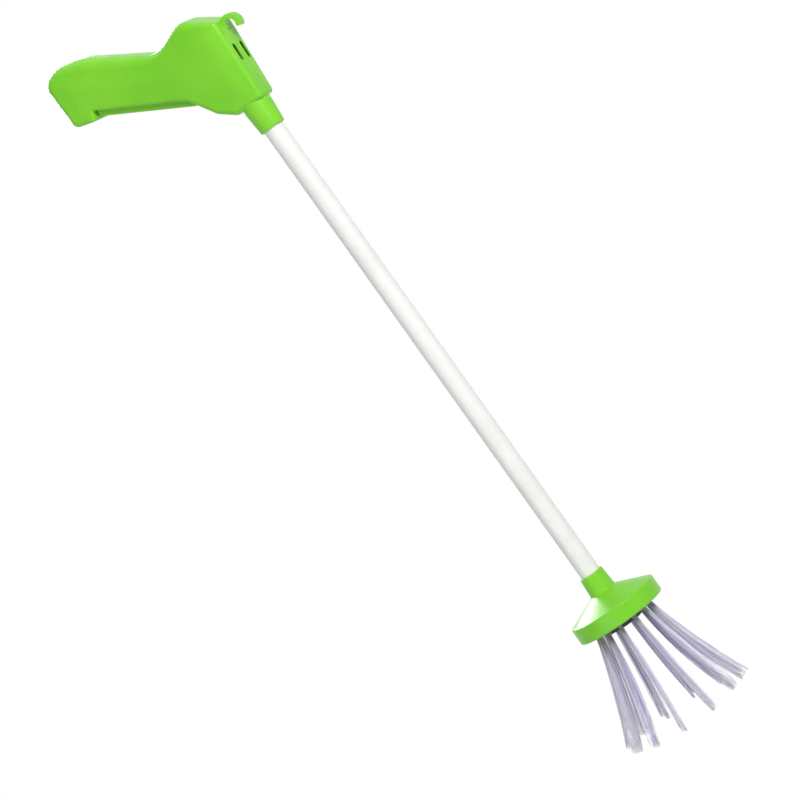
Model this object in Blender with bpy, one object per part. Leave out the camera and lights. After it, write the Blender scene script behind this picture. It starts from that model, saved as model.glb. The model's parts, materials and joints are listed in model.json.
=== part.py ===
# Spider catcher: a pistol handle drives a rod that opens a ring of bristle tufts.
# Metres, +Z up along the tube. The front face and the hook look to +X, the grip to -X, and the
# handle's two shells part at Y = 0. The origin is the inner top of the hanging hook.
# It is modelled as used: trigger squeezed, bristles open.

import math
import random

import bmesh
import bpy
from mathutils import Matrix, Vector
from mathutils.geometry import delaunay_2d_cdt

# Fits shared by all pieces
fit_gap = 0.0003            # between pieces that touch or run on each other
cut_overrun = 0.0020        # how far a cutter passes the face that it cuts
weld_distance = 0.000002    # points closer than this are one point

# Tube and rod
tube_r = 0.0080
tube_wall = 0.0012
tube_shown = 0.4010         # from the handle's neck to the head's collar
tube_in_neck = 0.0340
rod_r = 0.0025
guide_flange = 0.0015
guide_length = 0.0120

# Handle
neck_wall = 0.0019
neck_flare = 0.00145        # how much the neck's radius grows from its lower edge to the body
neck_length = 0.0185
body_floor = 0.0216         # height of the body's lower edge over the neck's
neck_rise = 0.0055          # how far the neck runs up into the body's rounded foot
body_step = 0.0019          # how far the body's front foot stands out from the neck
front_lean = 0.0032         # how far the front face leans forward over its height
front_height = 0.0632
grip_reach = 0.1325         # from the tube's axis to the butt
handle_height = 0.1320      # from the neck's lower edge to the hump of the grip
shell_wall = 0.0022
parting_gap = 0.0003
front_low_half = 0.0110     # half widths of the front face, then of the sides behind it
front_high_half = 0.0138
body_low_half = 0.0128
body_high_half = 0.0155
grip_half = 0.0135
front_flare_depth = 0.0130
side_crown = 0.0008
rib_thickness = 0.0022
boss_wall = 0.0013

# Slots in the front face
slot_height = 0.0140
slot_width = 0.0046
slot_spacing = 0.0120
slot_level = 0.0586

# Hook
hook_width = 0.0080
hook_strap = 0.0038
hook_inner_r = 0.0047
hook_level = 0.0776
hook_forward = 0.0213
hook_foot = 0.0055          # height of the wedge that roots the hook in the front wall
hook_tip_angle = -35.0

# Trigger: a channel under the grip, with a fork that drives the rod
trigger_swing = 12.0        # degrees, from squeezed to released
trigger_arm = 0.0240
trigger_share = 0.664       # reach from its pin to its far end, as a share of grip_reach
trigger_width = 0.0160
trigger_wall = 0.0031
trigger_barrel_r = 0.0050
trigger_nose_r = 0.0020
trigger_neck = 0.0078       # slender length behind its noses, which clears the rod cap's flanges
trigger_play = 0.0012       # between its far end and the grip
trigger_edge_r = 0.0030
trigger_pin_r = 0.0015
trigger_pin_half = 0.0117
pivot_level = 0.0620

# Rod cap, spring and screws
cap_flange_r = 0.0076
cap_core_r = 0.0044
cap_flange = 0.0020
cap_head = 0.0045
groove_play = 0.0004        # above and below a nose in its groove
spring_wire_r = 0.0006
spring_r = 0.0048
spring_turns = 7
screw_head_r = 0.0026
screw_head = 0.0015
screw_r = 0.0012
screw_bite = 0.0070
shell_screw_r = 0.0014
shell_screw_seat = 0.0070   # height of its head's seat over the parting plane
shell_screw_bite = 0.0088

# Head
rim_height = 0.0128
head_wall = 0.0020
cone_height = 0.0111
collar_low_r = 0.0104
collar_high_r = 0.00945
collar_height = 0.0156
shoulder = 0.0020
edge_round = 0.0012

# Bristle mechanism
tuft_count = 12
carrier_inset = 0.0061      # from the cover's edge to the carriers' pivots
carrier_pivot_height = 0.0060
carrier_nose_r = 0.0015
carrier_arm_width = 0.0024
carrier_arm_depth = 0.0026
carrier_barrel_r = 0.0030
wire_r = 0.0010
hub_core_r = 0.0071
hub_flange_r = 0.0112
hub_flange = 0.0017
hub_boss_r = 0.0050
hub_boss = 0.0044
fin_thickness = 0.0032
fin_play = 0.0008           # between the fins and the hub's flanges
fin_cover = 0.0050          # how far the fins reach past the pivots
fin_foot = 0.0018
ring_plate = 0.0020
ring_plate_level = 0.0108
ear_width = 0.0064
ear_thickness = 0.0024
ear_level = 0.0076
ear_boss_r = 0.0026
ear_play = 0.0009           # between an ear's boss and the fins
ear_margin = 0.0019         # between an ear's boss and the rim's wall
small_head_r = 0.0015
small_head = 0.0011
small_screw_r = 0.0008
small_screw_bite = 0.0048
cover_wall = 0.0028
cover_floor = 0.0018
cover_drop = 0.0055         # how far the cover stands out below the rim
cover_hole_r = 0.0042

# Bristle tufts
root_angle = 11.0           # degrees outward at the root, tufts open
tip_angle = 26.5
tuft_length = 0.0914
socket_top = 0.0015
socket_length = 0.0060
socket_wall = 0.0010
plug_half = 0.0026
plug_inner_half = 0.0012
plug_outer_half = 0.0027
plug_length = 0.0042
strand_rows = (2, 3, 4, 5, 5, 6)
strand_root_r = 0.00034
strand_tip_r = 0.00045
strand_root_step = 0.00084
tip_inner_r = 0.00525       # radii of the first and last row of tips when the tufts are closed
tip_outer_r = 0.01675
tip_side_gap = 0.00075
tip_uneven = 0.0016
strand_sink = 0.0010

# Derived places. The working frame has its zero on the tube's axis at the neck's lower edge.
bore_r = tube_r + fit_gap
neck_low_r = bore_r + neck_wall
neck_high_r = neck_low_r + neck_flare
front_low_x = neck_high_r + body_step
front_high_x = front_low_x + front_lean
front_top = body_floor + front_height
half_swing = math.radians(trigger_swing / 2)
carrier_half_swing = math.radians(trigger_swing)
pivot_x = -trigger_arm * math.cos(half_swing)
nose_level = pivot_level - trigger_arm * math.sin(half_swing)
trigger_reach = trigger_share * grip_reach
slot_end_r = trigger_reach + trigger_play
cover_inner_r = hub_flange_r + 3 * fit_gap
cover_r = cover_inner_r + cover_wall
carrier_pivot_r = cover_r + carrier_inset
carrier_arm = carrier_pivot_r - hub_core_r - carrier_nose_r - groove_play
fin_inner_r = hub_flange_r + fin_play
fin_outer_r = carrier_pivot_r + fin_cover
ear_screw_ring_r = fin_outer_r + ear_play + ear_boss_r
rim_r = ear_screw_ring_r + ear_boss_r + ear_margin + head_wall
collar_top = rim_height + cone_height + collar_height
rim_level = -(tube_shown + collar_top)
hub_level = carrier_pivot_height - carrier_arm * math.sin(carrier_half_swing)
bore_floor = rim_height + cone_height - shoulder + fit_gap
tube_low = bore_floor + guide_flange + 2 * fit_gap
groove_half = trigger_nose_r + groove_play
hub_groove_half = carrier_nose_r + groove_play
sector = math.pi / tuft_count
carrier_barrel_half = ((carrier_pivot_r - carrier_barrel_r) * math.tan(sector)
                       - fin_thickness / 2 / math.cos(sector) - fit_gap)

# Corners of the handle's side outline: x as a share of grip_reach, z as a share of
# handle_height, then fillet and edge rounding as shares of grip_reach.
outline_top_shares = (
    (-0.060, 0.771, 0.098, 0.042),
    (-0.298, 0.707, 0.166, 0.053),
    (-0.725, 0.971, 0.317, 0.064),
    (-0.872, 1.004, 0.136, 0.053),
    (-0.993, 0.966, 0.075, 0.045),
)
# The prong round the slot's end: angle at the pin, share of the slot's reach, then fillet and
# edge rounding as shares of grip_reach.
slot_end_shares = (
    (166.1, 1.217, 0.038, 0.030),
    (166.6, 1.0, 0.024, 0.016),
    (161.5, 1.0, 0.008, 0.015),
)
outline_low_shares = (
    (-0.298, 0.402, 0.045, 0.023),
    (-0.196, 0.239, 0.068, 0.034),
)
foot_shares = (0.034, 0.045)
front_corner_shares = (0.026, 0.028, 0.030, 0.020)
spine_shares = ((-0.008, 0.24), (-0.038, 0.60), (-0.287, 0.59), (-0.566, 0.73), (-0.890, 0.81))
shell_screw_shares = ((-0.906, 0.848), (-0.453, 0.727), (-0.106, 0.681), (-0.128, 0.287))
trigger_top_shares = ((-0.226, 0.516), (-0.738, 0.833))
trigger_low_shares = ((-0.826, 0.640), (-0.266, 0.336), (-0.213, 0.377))


def clear_scene():
    for item in list(bpy.data.objects):
        bpy.data.objects.remove(item, do_unlink=True)


def make_material(name, colour, roughness, metallic=0.0, alpha=1.0):
    material = bpy.data.materials.new(name)
    material.use_nodes = True
    shader = material.node_tree.nodes["Principled BSDF"]
    shader.inputs["Base Color"].default_value = (*colour, 1.0)
    shader.inputs["Roughness"].default_value = roughness
    shader.inputs["Metallic"].default_value = metallic
    shader.inputs["Alpha"].default_value = alpha
    material.diffuse_color = (*colour, 1.0)
    return material


def add_empty(name, place, turn=0.0, parent=None):
    empty = bpy.data.objects.new(name, None)
    bpy.context.collection.objects.link(empty)
    empty.parent = parent
    empty.location = place
    empty.rotation_euler = (0.0, 0.0, turn)
    return empty


def add_node(name, mesh, material, parent, smooth=True, place=(0.0, 0.0, 0.0)):
    node = bpy.data.objects.new(name, mesh)
    bpy.context.collection.objects.link(node)
    node.parent = parent
    node.location = place
    if not mesh.materials:
        mesh.materials.append(material)
    mesh.materials[0] = material
    if smooth:
        mesh.shade_smooth()
        mesh.set_sharp_from_angle(angle=math.radians(32))
    return node


def closed_mesh(points, faces):
    mesh = bpy.data.meshes.new("solid")
    mesh.from_pydata([tuple(point) for point in points], [], faces)
    shape = bmesh.new()
    shape.from_mesh(mesh)
    bmesh.ops.remove_doubles(shape, verts=shape.verts, dist=weld_distance)
    bmesh.ops.dissolve_degenerate(shape, edges=shape.edges, dist=weld_distance)
    bmesh.ops.recalc_face_normals(shape, faces=shape.faces)
    shape.to_mesh(mesh)
    shape.free()
    return mesh


def boolean(base, tool, operation):
    first = bpy.data.objects.new("first", base)
    second = bpy.data.objects.new("second", tool)
    bpy.context.collection.objects.link(first)
    bpy.context.collection.objects.link(second)
    modifier = first.modifiers.new("boolean", "BOOLEAN")
    modifier.object = second
    modifier.operation = operation
    bpy.context.view_layer.update()
    evaluated = first.evaluated_get(bpy.context.evaluated_depsgraph_get())
    result = bpy.data.meshes.new_from_object(evaluated)
    bpy.data.objects.remove(first)
    bpy.data.objects.remove(second)
    result.materials.clear()
    return result


def fuse(*meshes):
    result = meshes[0]
    for mesh in meshes[1:]:
        result = boolean(result, mesh, "UNION")
    return result


def cut(base, *tools):
    result = base
    for tool in tools:
        result = boolean(result, tool, "DIFFERENCE")
    return result


def moved(mesh, place=(0.0, 0.0, 0.0), turn=0.0, axis="Z"):
    copy = mesh.copy()
    copy.transform(Matrix.Translation(place) @ Matrix.Rotation(turn, 4, axis))
    return copy


def turned(profile, steps):
    # A closed outline of (radius, height) points spun about Z. Radius zero is one point.
    points = []
    rings = []
    for radius, height in profile:
        if radius == 0.0:
            points.append((0.0, 0.0, height))
            rings.append([len(points) - 1] * steps)
            continue
        ring = []
        for step in range(steps):
            angle = 2 * math.pi * step / steps
            points.append((radius * math.cos(angle), radius * math.sin(angle), height))
            ring.append(len(points) - 1)
        rings.append(ring)
    faces = []
    for index, ring in enumerate(rings):
        after = rings[(index + 1) % len(rings)]
        if profile[index][0] == 0.0 and profile[(index + 1) % len(rings)][0] == 0.0:
            continue
        for step in range(steps):
            onward = (step + 1) % steps
            face = [ring[step], ring[onward], after[onward], after[step]]
            face = [corner for place, corner in enumerate(face) if corner not in face[:place]]
            faces.append(face)
    return closed_mesh(points, faces)


def drum(radius, low, high, steps, axis="Z"):
    mesh = turned([(0.0, low), (radius, low), (radius, high), (0.0, high)], steps)
    if axis == "Y":
        mesh.transform(Matrix.Rotation(-math.pi / 2, 4, "X"))
    if axis == "X":
        mesh.transform(Matrix.Rotation(math.pi / 2, 4, "Y"))
    return mesh


def prism(outline, low, high, axis="Y"):
    # An outline extruded from low to high: in X and Z along Y, in Y and Z along X,
    # or in X and Y along Z.
    def lift(point, level):
        if axis == "Y":
            return (point[0], level, point[1])
        if axis == "X":
            return (level, point[0], point[1])
        return (point[0], point[1], level)

    count = len(outline)
    points = [lift(point, low) for point in outline] + [lift(point, high) for point in outline]
    faces = [list(range(count)), list(range(count, 2 * count))]
    for index in range(count):
        onward = (index + 1) % count
        faces.append([index, onward, count + onward, count + index])
    return closed_mesh(points, faces)


def block(low, high):
    return prism([(low[0], low[2]), (high[0], low[2]), (high[0], high[2]), (low[0], high[2])],
                 low[1], high[1])


def arc(centre, radius, start, end, steps):
    turns = [math.radians(start + (end - start) * step / steps) for step in range(steps + 1)]
    return [(centre[0] + radius * math.cos(turn), centre[1] + radius * math.sin(turn))
            for turn in turns]


def offset_corners(corners, inset):
    # Moves each side of a counterclockwise outline inward, and its fillets with it
    moved_corners = []
    count = len(corners)
    for index, (x, z, fillet, edge) in enumerate(corners):
        here = Vector((x, z))
        before = (here - Vector(corners[index - 1][:2])).normalized()
        after = (Vector(corners[(index + 1) % count][:2]) - here).normalized()
        inward = Vector((-before.y, before.x)) + Vector((-after.y, after.x))
        shift = inward / (inward.length_squared / 2)
        turn = before.x * after.y - before.y * after.x
        fillet = fillet + inset if turn < 0 else max(fillet - inset, fillet / 4)
        place = here + inset * shift
        moved_corners.append((place.x, place.y, fillet, max(edge - inset, edge / 4)))
    return moved_corners


def rounded(corners, arc_step=14.0, longest=None):
    # Points with their edge radius along an outline whose corners carry fillets
    points = []
    count = len(corners)
    for index, (x, z, fillet, edge) in enumerate(corners):
        here = Vector((x, z))
        before = Vector(corners[index - 1][:2]) - here
        after = Vector(corners[(index + 1) % count][:2]) - here
        opening = before.angle(after)
        bend = math.pi - opening
        back = fillet / math.tan(opening / 2)
        centre = here + (before.normalized() + after.normalized()).normalized() * (
            fillet / math.sin(opening / 2))
        start = here + before.normalized() * back - centre
        turn = 1 if before.x * after.y - before.y * after.x < 0 else -1
        steps = max(1, round(math.degrees(bend) / arc_step))
        for step in range(steps + 1):
            angle = turn * bend * step / steps
            swung = Vector((start.x * math.cos(angle) - start.y * math.sin(angle),
                            start.x * math.sin(angle) + start.y * math.cos(angle)))
            points.append((*(centre + swung), edge))
    if longest is None:
        return points
    full = []
    for index, point in enumerate(points):
        onward = points[(index + 1) % len(points)]
        span = math.dist(point[:2], onward[:2])
        parts = max(1, round(span / longest))
        for part in range(parts):
            share = part / parts
            full.append(tuple(a + (b - a) * share for a, b in zip(point, onward)))
    return full


def handle_corners():
    low_fillet, low_edge, high_fillet, high_edge = (
        share * grip_reach for share in front_corner_shares)
    corners = [(front_low_x, body_floor, low_fillet, low_edge),
               (front_high_x, front_top, high_fillet, high_edge)]
    for x, z, fillet, edge in outline_top_shares:
        corners.append((x * grip_reach, z * handle_height, fillet * grip_reach, edge * grip_reach))
    for angle, reach, fillet, edge in slot_end_shares:
        x = pivot_x + reach * slot_end_r * math.cos(math.radians(angle))
        z = pivot_level + reach * slot_end_r * math.sin(math.radians(angle))
        corners.append((x, z, fillet * grip_reach, edge * grip_reach))
    for x, z, fillet, edge in outline_low_shares:
        corners.append((x * grip_reach, z * handle_height, fillet * grip_reach, edge * grip_reach))
    fillet, edge = (share * grip_reach for share in foot_shares)
    corners.append((-front_low_x, body_floor, fillet, edge))
    return corners


def ease(share):
    share = min(1.0, max(0.0, share))
    return share * share * (3 - 2 * share)


def side_half(x, z):
    # Half width of the handle's side face at a place in its outline
    rise = min(1.0, max(0.0, (z - body_floor) / front_height))
    front = front_low_half + (front_high_half - front_low_half) * rise
    side = body_low_half + (body_high_half - body_low_half) * ease(rise)
    side += (grip_half - side) * ease(-x / (grip_reach / 2))
    face_x = front_low_x + front_lean * rise
    flare = min(1.0, max(0.0, (face_x - x) / front_flare_depth))
    return front + (side - front) * math.sin(flare * math.pi / 2)


def nearest_on_spine(point):
    spine = [Vector((x * grip_reach, z * handle_height)) for x, z in spine_shares]
    best = None
    for start, end in zip(spine, spine[1:]):
        run = end - start
        share = min(1.0, max(0.0, (point - start).dot(run) / run.length_squared))
        place = start + run * share
        if best is None or (place - point).length < (best - point).length:
            best = place
    return best


def handle_form(inset, bend_steps, inner_shares, arc_step, longest):
    # One half of the handle's outer form, or its cavity when inset by the wall. Points on
    # rings round the edge and close in on the spine, and one triangulation joins them.
    corners = handle_corners()
    if inset:
        corners = offset_corners(corners, inset)
    outline = rounded(corners, arc_step, longest)
    count = len(outline)
    inward = []
    for index, point in enumerate(outline):
        before = Vector(point[:2]) - Vector(outline[index - 1][:2])
        after = Vector(outline[(index + 1) % count][:2]) - Vector(point[:2])
        along = (before.normalized() + after.normalized()).normalized()
        inward.append(Vector((-along.y, along.x)))
    flat = [Vector((x, z)) for x, z, edge in outline]
    heights = [side_half(x, z) - inset - edge for x, z, edge in outline]
    candidates = []
    rim = []
    for step in range(1, bend_steps + 1):
        angle = math.pi / 2 * step / bend_steps
        rim = [spot + normal * point[2] * (1 - math.cos(angle))
               for spot, normal, point in zip(flat[:count], inward, outline)]
        for spot, point in zip(rim, outline):
            height = side_half(spot.x, spot.y) - inset - point[2] * (1 - math.sin(angle))
            candidates.append((spot, height))
    for share in inner_shares:
        for place in rim:
            spot = place + (nearest_on_spine(place) - place) * share
            height = side_half(spot.x, spot.y) - inset + side_crown * ease(share)
            candidates.append((spot, height))
    for spot, height in candidates:
        if min((spot - other).length for other in flat) > longest / 40:
            flat.append(spot)
            heights.append(height)
    border = [(index, (index + 1) % count) for index in range(count)]
    joined = delaunay_2d_cdt(flat, border, [], 1, weld_distance / 10)
    points = []
    for spot, sources in zip(joined[0], joined[3]):
        points.append((spot.x, heights[sources[0]], spot.y))
    faces = [list(face) for face in joined[2]]
    top = {sources[0]: index for index, sources in enumerate(joined[3])}
    base = len(points)
    points += [(spot.x, -cut_overrun, spot.y) for spot in flat[:count]]
    faces.append([base + index for index in range(count)])
    for first, second in border:
        faces.append([base + first, base + second, top[second], top[first]])
    return closed_mesh(points, faces)


def hook_outline(grow):
    centre = (hook_forward, hook_level)
    outer = hook_inner_r + hook_strap + grow
    inner = hook_inner_r - grow
    start = 180.0 + math.degrees(grow / hook_inner_r)
    foot = (hook_forward - outer, hook_level - hook_foot - 3 * grow)
    return (arc(centre, outer, start, hook_tip_angle, 12)
            + arc(centre, inner, hook_tip_angle - 6.0, start, 10) + [foot])


def screw_places():
    return [(x * grip_reach, z * handle_height) for x, z in shell_screw_shares]


def make_shell(side):
    # side is 1 for the left shell, which takes the screws' heads, and -1 for the right one
    outer = handle_form(0.0, 3, (0.3, 0.75), 20.0, grip_reach / 9)
    cavity = handle_form(shell_wall, 1, (0.3,), 34.0, grip_reach / 5)
    neck = turned([(0.0, 0.0), (neck_low_r, 0.0), (neck_high_r, neck_length),
                   (neck_high_r, body_floor + neck_rise), (0.0, body_floor + neck_rise)], 28)
    seat_top = tube_in_neck + guide_flange + 3 * fit_gap + rib_thickness
    seat_r = body_low_half - shell_wall / 2 - side_crown
    seat = drum(seat_r, body_floor - shell_wall / 3, seat_top, 20)
    bore = turned([(0.0, -cut_overrun), (bore_r, -cut_overrun), (bore_r, seat_top - rib_thickness),
                   (spring_r + 3 * spring_wire_r, seat_top - rib_thickness),
                   (spring_r + 3 * spring_wire_r, seat_top + cut_overrun),
                   (0.0, seat_top + cut_overrun)], 24)

    shell = cut(fuse(outer, neck), cavity)
    additions = [seat]
    holes = [bore]
    boss_r = screw_head_r + fit_gap + boss_wall
    shank_hole_r = shell_screw_r + fit_gap
    for x, z in screw_places():
        reach = side_half(x, z) - shell_wall / 2
        additions.append(moved(drum(boss_r, -cut_overrun, reach, 10, "Y"), (x, 0.0, z)))
        if side > 0:
            holes.append(moved(drum(shank_hole_r, -2 * cut_overrun, reach, 8, "Y"), (x, 0.0, z)))
            holes.append(moved(drum(screw_head_r + fit_gap, shell_screw_seat, reach + 2 * shell_wall,
                                    12, "Y"), (x, 0.0, z)))
        else:
            holes.append(moved(drum(shank_hole_r, -2 * cut_overrun, shell_screw_bite, 8, "Y"),
                               (x, 0.0, z)))
    pin_boss_r = trigger_pin_r + fit_gap + 2 * boss_wall
    pin_place = (pivot_x, 0.0, pivot_level)
    inner_face = trigger_width / 2 + 2 * fit_gap
    reach = side_half(pivot_x, pivot_level) - shell_wall / 2
    additions.append(moved(drum(pin_boss_r, inner_face, reach, 12, "Y"), pin_place))
    holes.append(moved(drum(trigger_pin_r + fit_gap, inner_face - cut_overrun,
                            trigger_pin_half + fit_gap, 10, "Y"), pin_place))
    if side < 0:
        strap = prism(hook_outline(0.0), -hook_width / 2, hook_width / 2)
    shell = fuse(shell, *additions)

    centre = (pivot_x, pivot_level)
    mouth = [centre] + arc(centre, slot_end_r - fit_gap, 148.0, 205.0, 8)
    mouth += arc(centre, slot_end_r / 3, 238.0, 240.0, 1)
    mouth += arc(centre, slot_end_r / 4, 254.0, 256.0, 1)
    holes.append(prism(mouth, -cut_overrun, inner_face))
    slot_y = slot_spacing / 2
    slot_r = slot_width / 2
    straight = slot_height / 2 - slot_r
    slot = (arc((slot_y, slot_level + straight), slot_r, 0.0, 180.0, 6)
            + arc((slot_y, slot_level - straight), slot_r, 180.0, 360.0, 6))
    holes.append(prism(slot, front_low_x - 2 * shell_wall, front_high_x + cut_overrun, "X"))
    shell = cut(shell, *holes)
    far = 2 * grip_reach
    shell = cut(shell, block((-far, -far, -far), (far, parting_gap / 2, far)))
    if side < 0:
        shell.transform(Matrix.Scale(-1, 4, (0, 1, 0)))
        shell.flip_normals()
        return fuse(shell, strap)
    notch = prism(hook_outline(fit_gap), -cut_overrun, hook_width / 2 + fit_gap)
    return cut(shell, notch)


def make_trigger():
    centre = (pivot_x, pivot_level)
    nose = (pivot_x + trigger_arm * math.cos(half_swing), nose_level)
    tops = [(x * grip_reach, z * handle_height) for x, z in trigger_top_shares]
    far_angle = math.degrees(math.atan2(tops[1][1] - pivot_level, tops[1][0] - pivot_x))
    low_angle = math.degrees(math.atan2(trigger_low_shares[0][1] * handle_height - pivot_level,
                                        trigger_low_shares[0][0] * grip_reach - pivot_x))
    lean = -math.degrees(half_swing)
    end = arc(centre, trigger_reach, far_angle, low_angle, 4)
    turn_r = trigger_reach / 22
    outline = arc(nose, trigger_nose_r, lean - 130, lean + 130, 8)
    back = Vector((-math.cos(half_swing), math.sin(half_swing))) * trigger_neck
    outline.append(tuple(Vector(outline[-1]) + back))
    outline += arc(centre, trigger_barrel_r, 60.0, 115.0, 4)
    outline += [tops[0]] + end[:-1]
    inset = Vector(end[-1])
    first_low = Vector([trigger_low_shares[1][0] * grip_reach,
                        trigger_low_shares[1][1] * handle_height])
    lower = (first_low - inset).normalized()
    outline += [(end[-1][0] + turn_r / 4, end[-1][1] + turn_r / 4),
                tuple(inset + lower * turn_r)]
    web = Vector([trigger_low_shares[2][0] * grip_reach, trigger_low_shares[2][1] * handle_height])
    outline += [tuple(first_low - lower * turn_r),
                tuple(first_low + (web - first_low).normalized() * turn_r / 2), tuple(web)]
    outline += arc(centre, trigger_barrel_r, 270.0, 300.0, 2)
    outline.append(tuple(Vector(outline[0]) + back))
    half = trigger_width / 2
    body = prism(outline, -half, half)
    shape = bmesh.new()
    shape.from_mesh(body)
    low_edges = []
    for edge in shape.edges:
        first, second = (corner.co for corner in edge.verts)
        flat = abs(first.y - second.y) < weld_distance
        middle = (first + second) / 2
        side = (middle.x - first_low.x) * lower.y - (middle.z - first_low.y) * lower.x
        if flat and abs(side) < weld_distance * 10 and (first - second).length > turn_r:
            low_edges.append(edge)
    bmesh.ops.bevel(shape, geom=low_edges, offset=trigger_edge_r, segments=3, affect="EDGES",
                    profile=0.5)
    bmesh.ops.recalc_face_normals(shape, faces=shape.faces)
    shape.to_mesh(body)
    shape.free()

    normal = Vector((-lower.y, lower.x))
    if normal.y < 0:
        normal = -normal
    floor_start = inset + lower * trigger_wall + normal * trigger_wall
    floor_end = first_low - lower * trigger_wall + normal * trigger_wall
    rise = handle_height
    channel = [tuple(floor_end), (floor_end.x, pivot_level - trigger_barrel_r - trigger_wall),
               (nose[0] + cut_overrun + 2 * trigger_nose_r, nose_level - trigger_barrel_r
                - trigger_wall),
               (nose[0] + cut_overrun + 2 * trigger_nose_r, pivot_level + rise),
               (-grip_reach, pivot_level + rise), (-grip_reach, floor_start.y),
               tuple(floor_start)]
    inner_half = half - trigger_wall
    body = cut(body, prism(channel, -inner_half, inner_half))
    barrel = drum(trigger_barrel_r, -inner_half - trigger_wall / 2, inner_half + trigger_wall / 2,
                  16, "Y")
    body = fuse(body, moved(barrel, (pivot_x, 0.0, pivot_level)))
    hole = drum(trigger_pin_r + fit_gap, -half - cut_overrun, half + cut_overrun, 10, "Y")
    body = cut(body, moved(hole, (pivot_x, 0.0, pivot_level)))
    body.transform(Matrix.Translation((-pivot_x, 0.0, -pivot_level)))
    return body


def make_screw(head_r, head, shank_r, length):
    # Head on +Z with a driver's recess, shank down from zero
    recess_r = head_r * 0.45
    recess = head * 0.55
    return turned([(0.0, -length), (shank_r, -length), (shank_r, 0.0), (head_r, 0.0),
                   (head_r, head), (recess_r, head), (recess_r * 0.8, head - recess),
                   (0.0, head - recess)], 8)


def make_spring(low, high):
    # One tube wound by formula. Its least gap to itself is measured on its points.
    points_per_turn = 8
    total = spring_turns * points_per_turn
    path = []
    for index in range(total + 1):
        share = index / total
        angle = 2 * math.pi * spring_turns * share
        height = low + spring_wire_r + (high - low - 2 * spring_wire_r) * share
        path.append(Vector((spring_r * math.cos(angle), spring_r * math.sin(angle), height)))
    gaps = [(path[index] - path[other]).length - 2 * spring_wire_r
            for index in range(len(path))
            for other in range(index + points_per_turn - 2, len(path))]
    print("return_spring: least gap to itself", round(min(gaps) * 1000, 2), "mm")
    curve = bpy.data.curves.new("wire", "CURVE")
    curve.dimensions = "3D"
    spline = curve.splines.new("POLY")
    spline.points.add(len(path) - 1)
    for place, point in zip(path, spline.points):
        point.co = (*place, 1.0)
    curve.bevel_depth = spring_wire_r
    curve.bevel_resolution = 1
    curve.use_fill_caps = True
    wire = bpy.data.objects.new("wire", curve)
    bpy.context.collection.objects.link(wire)
    bpy.context.view_layer.update()
    mesh = bpy.data.meshes.new_from_object(
        wire.evaluated_get(bpy.context.evaluated_depsgraph_get()))
    bpy.data.objects.remove(wire)
    shape = bmesh.new()
    shape.from_mesh(mesh)
    bmesh.ops.remove_doubles(shape, verts=shape.verts, dist=weld_distance)
    bmesh.ops.recalc_face_normals(shape, faces=shape.faces)
    shape.to_mesh(mesh)
    shape.free()
    return mesh


def make_guide():
    # Flange at zero and below, bush up into the tube
    bush_r = tube_r - tube_wall - fit_gap
    return turned([(rod_r + fit_gap, -guide_flange), (tube_r, -guide_flange), (tube_r, 0.0),
                   (bush_r, 0.0), (bush_r, guide_length), (rod_r + fit_gap, guide_length)], 20)


def make_rod(low, high):
    hole_r = screw_r + fit_gap
    deep = screw_bite + fit_gap
    return turned([(hole_r, low), (rod_r, low), (rod_r, high), (hole_r, high),
                   (hole_r, high - deep), (0.0, high - deep), (0.0, low + deep),
                   (hole_r, low + deep)], 12)


def make_cap():
    # Its zero is the middle of the groove
    bottom = -groove_half - cap_flange
    top = groove_half + cap_head
    rod_bore = rod_r + fit_gap
    rod_end = groove_half + fit_gap
    seat = top - screw_head - fit_gap
    return turned([(rod_bore, bottom), (cap_flange_r, bottom), (cap_flange_r, -groove_half),
                   (cap_core_r, -groove_half), (cap_core_r, groove_half),
                   (cap_flange_r, groove_half), (cap_flange_r, groove_half + cap_flange),
                   (cap_core_r, top), (screw_head_r + fit_gap, top),
                   (screw_head_r + fit_gap, seat), (screw_r + fit_gap, seat),
                   (screw_r + fit_gap, rod_end), (rod_bore, rod_end)], 16)


def make_hub():
    # Its zero is the middle of the groove that the carriers' noses ride in
    bottom = -hub_groove_half - hub_flange
    top = hub_groove_half + hub_flange
    rod_bore = rod_r + fit_gap
    floor = -hub_groove_half + hub_flange / 2
    seat = bottom + screw_head + fit_gap
    return turned([(screw_head_r + fit_gap, bottom), (hub_flange_r, bottom),
                   (hub_flange_r, -hub_groove_half), (hub_core_r, -hub_groove_half),
                   (hub_core_r, hub_groove_half), (hub_flange_r, hub_groove_half),
                   (hub_flange_r, top), (hub_boss_r, top), (hub_boss_r, top + hub_boss),
                   (rod_bore, top + hub_boss), (rod_bore, floor), (screw_r + fit_gap, floor),
                   (screw_r + fit_gap, seat), (screw_head_r + fit_gap, seat)], 16)


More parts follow.
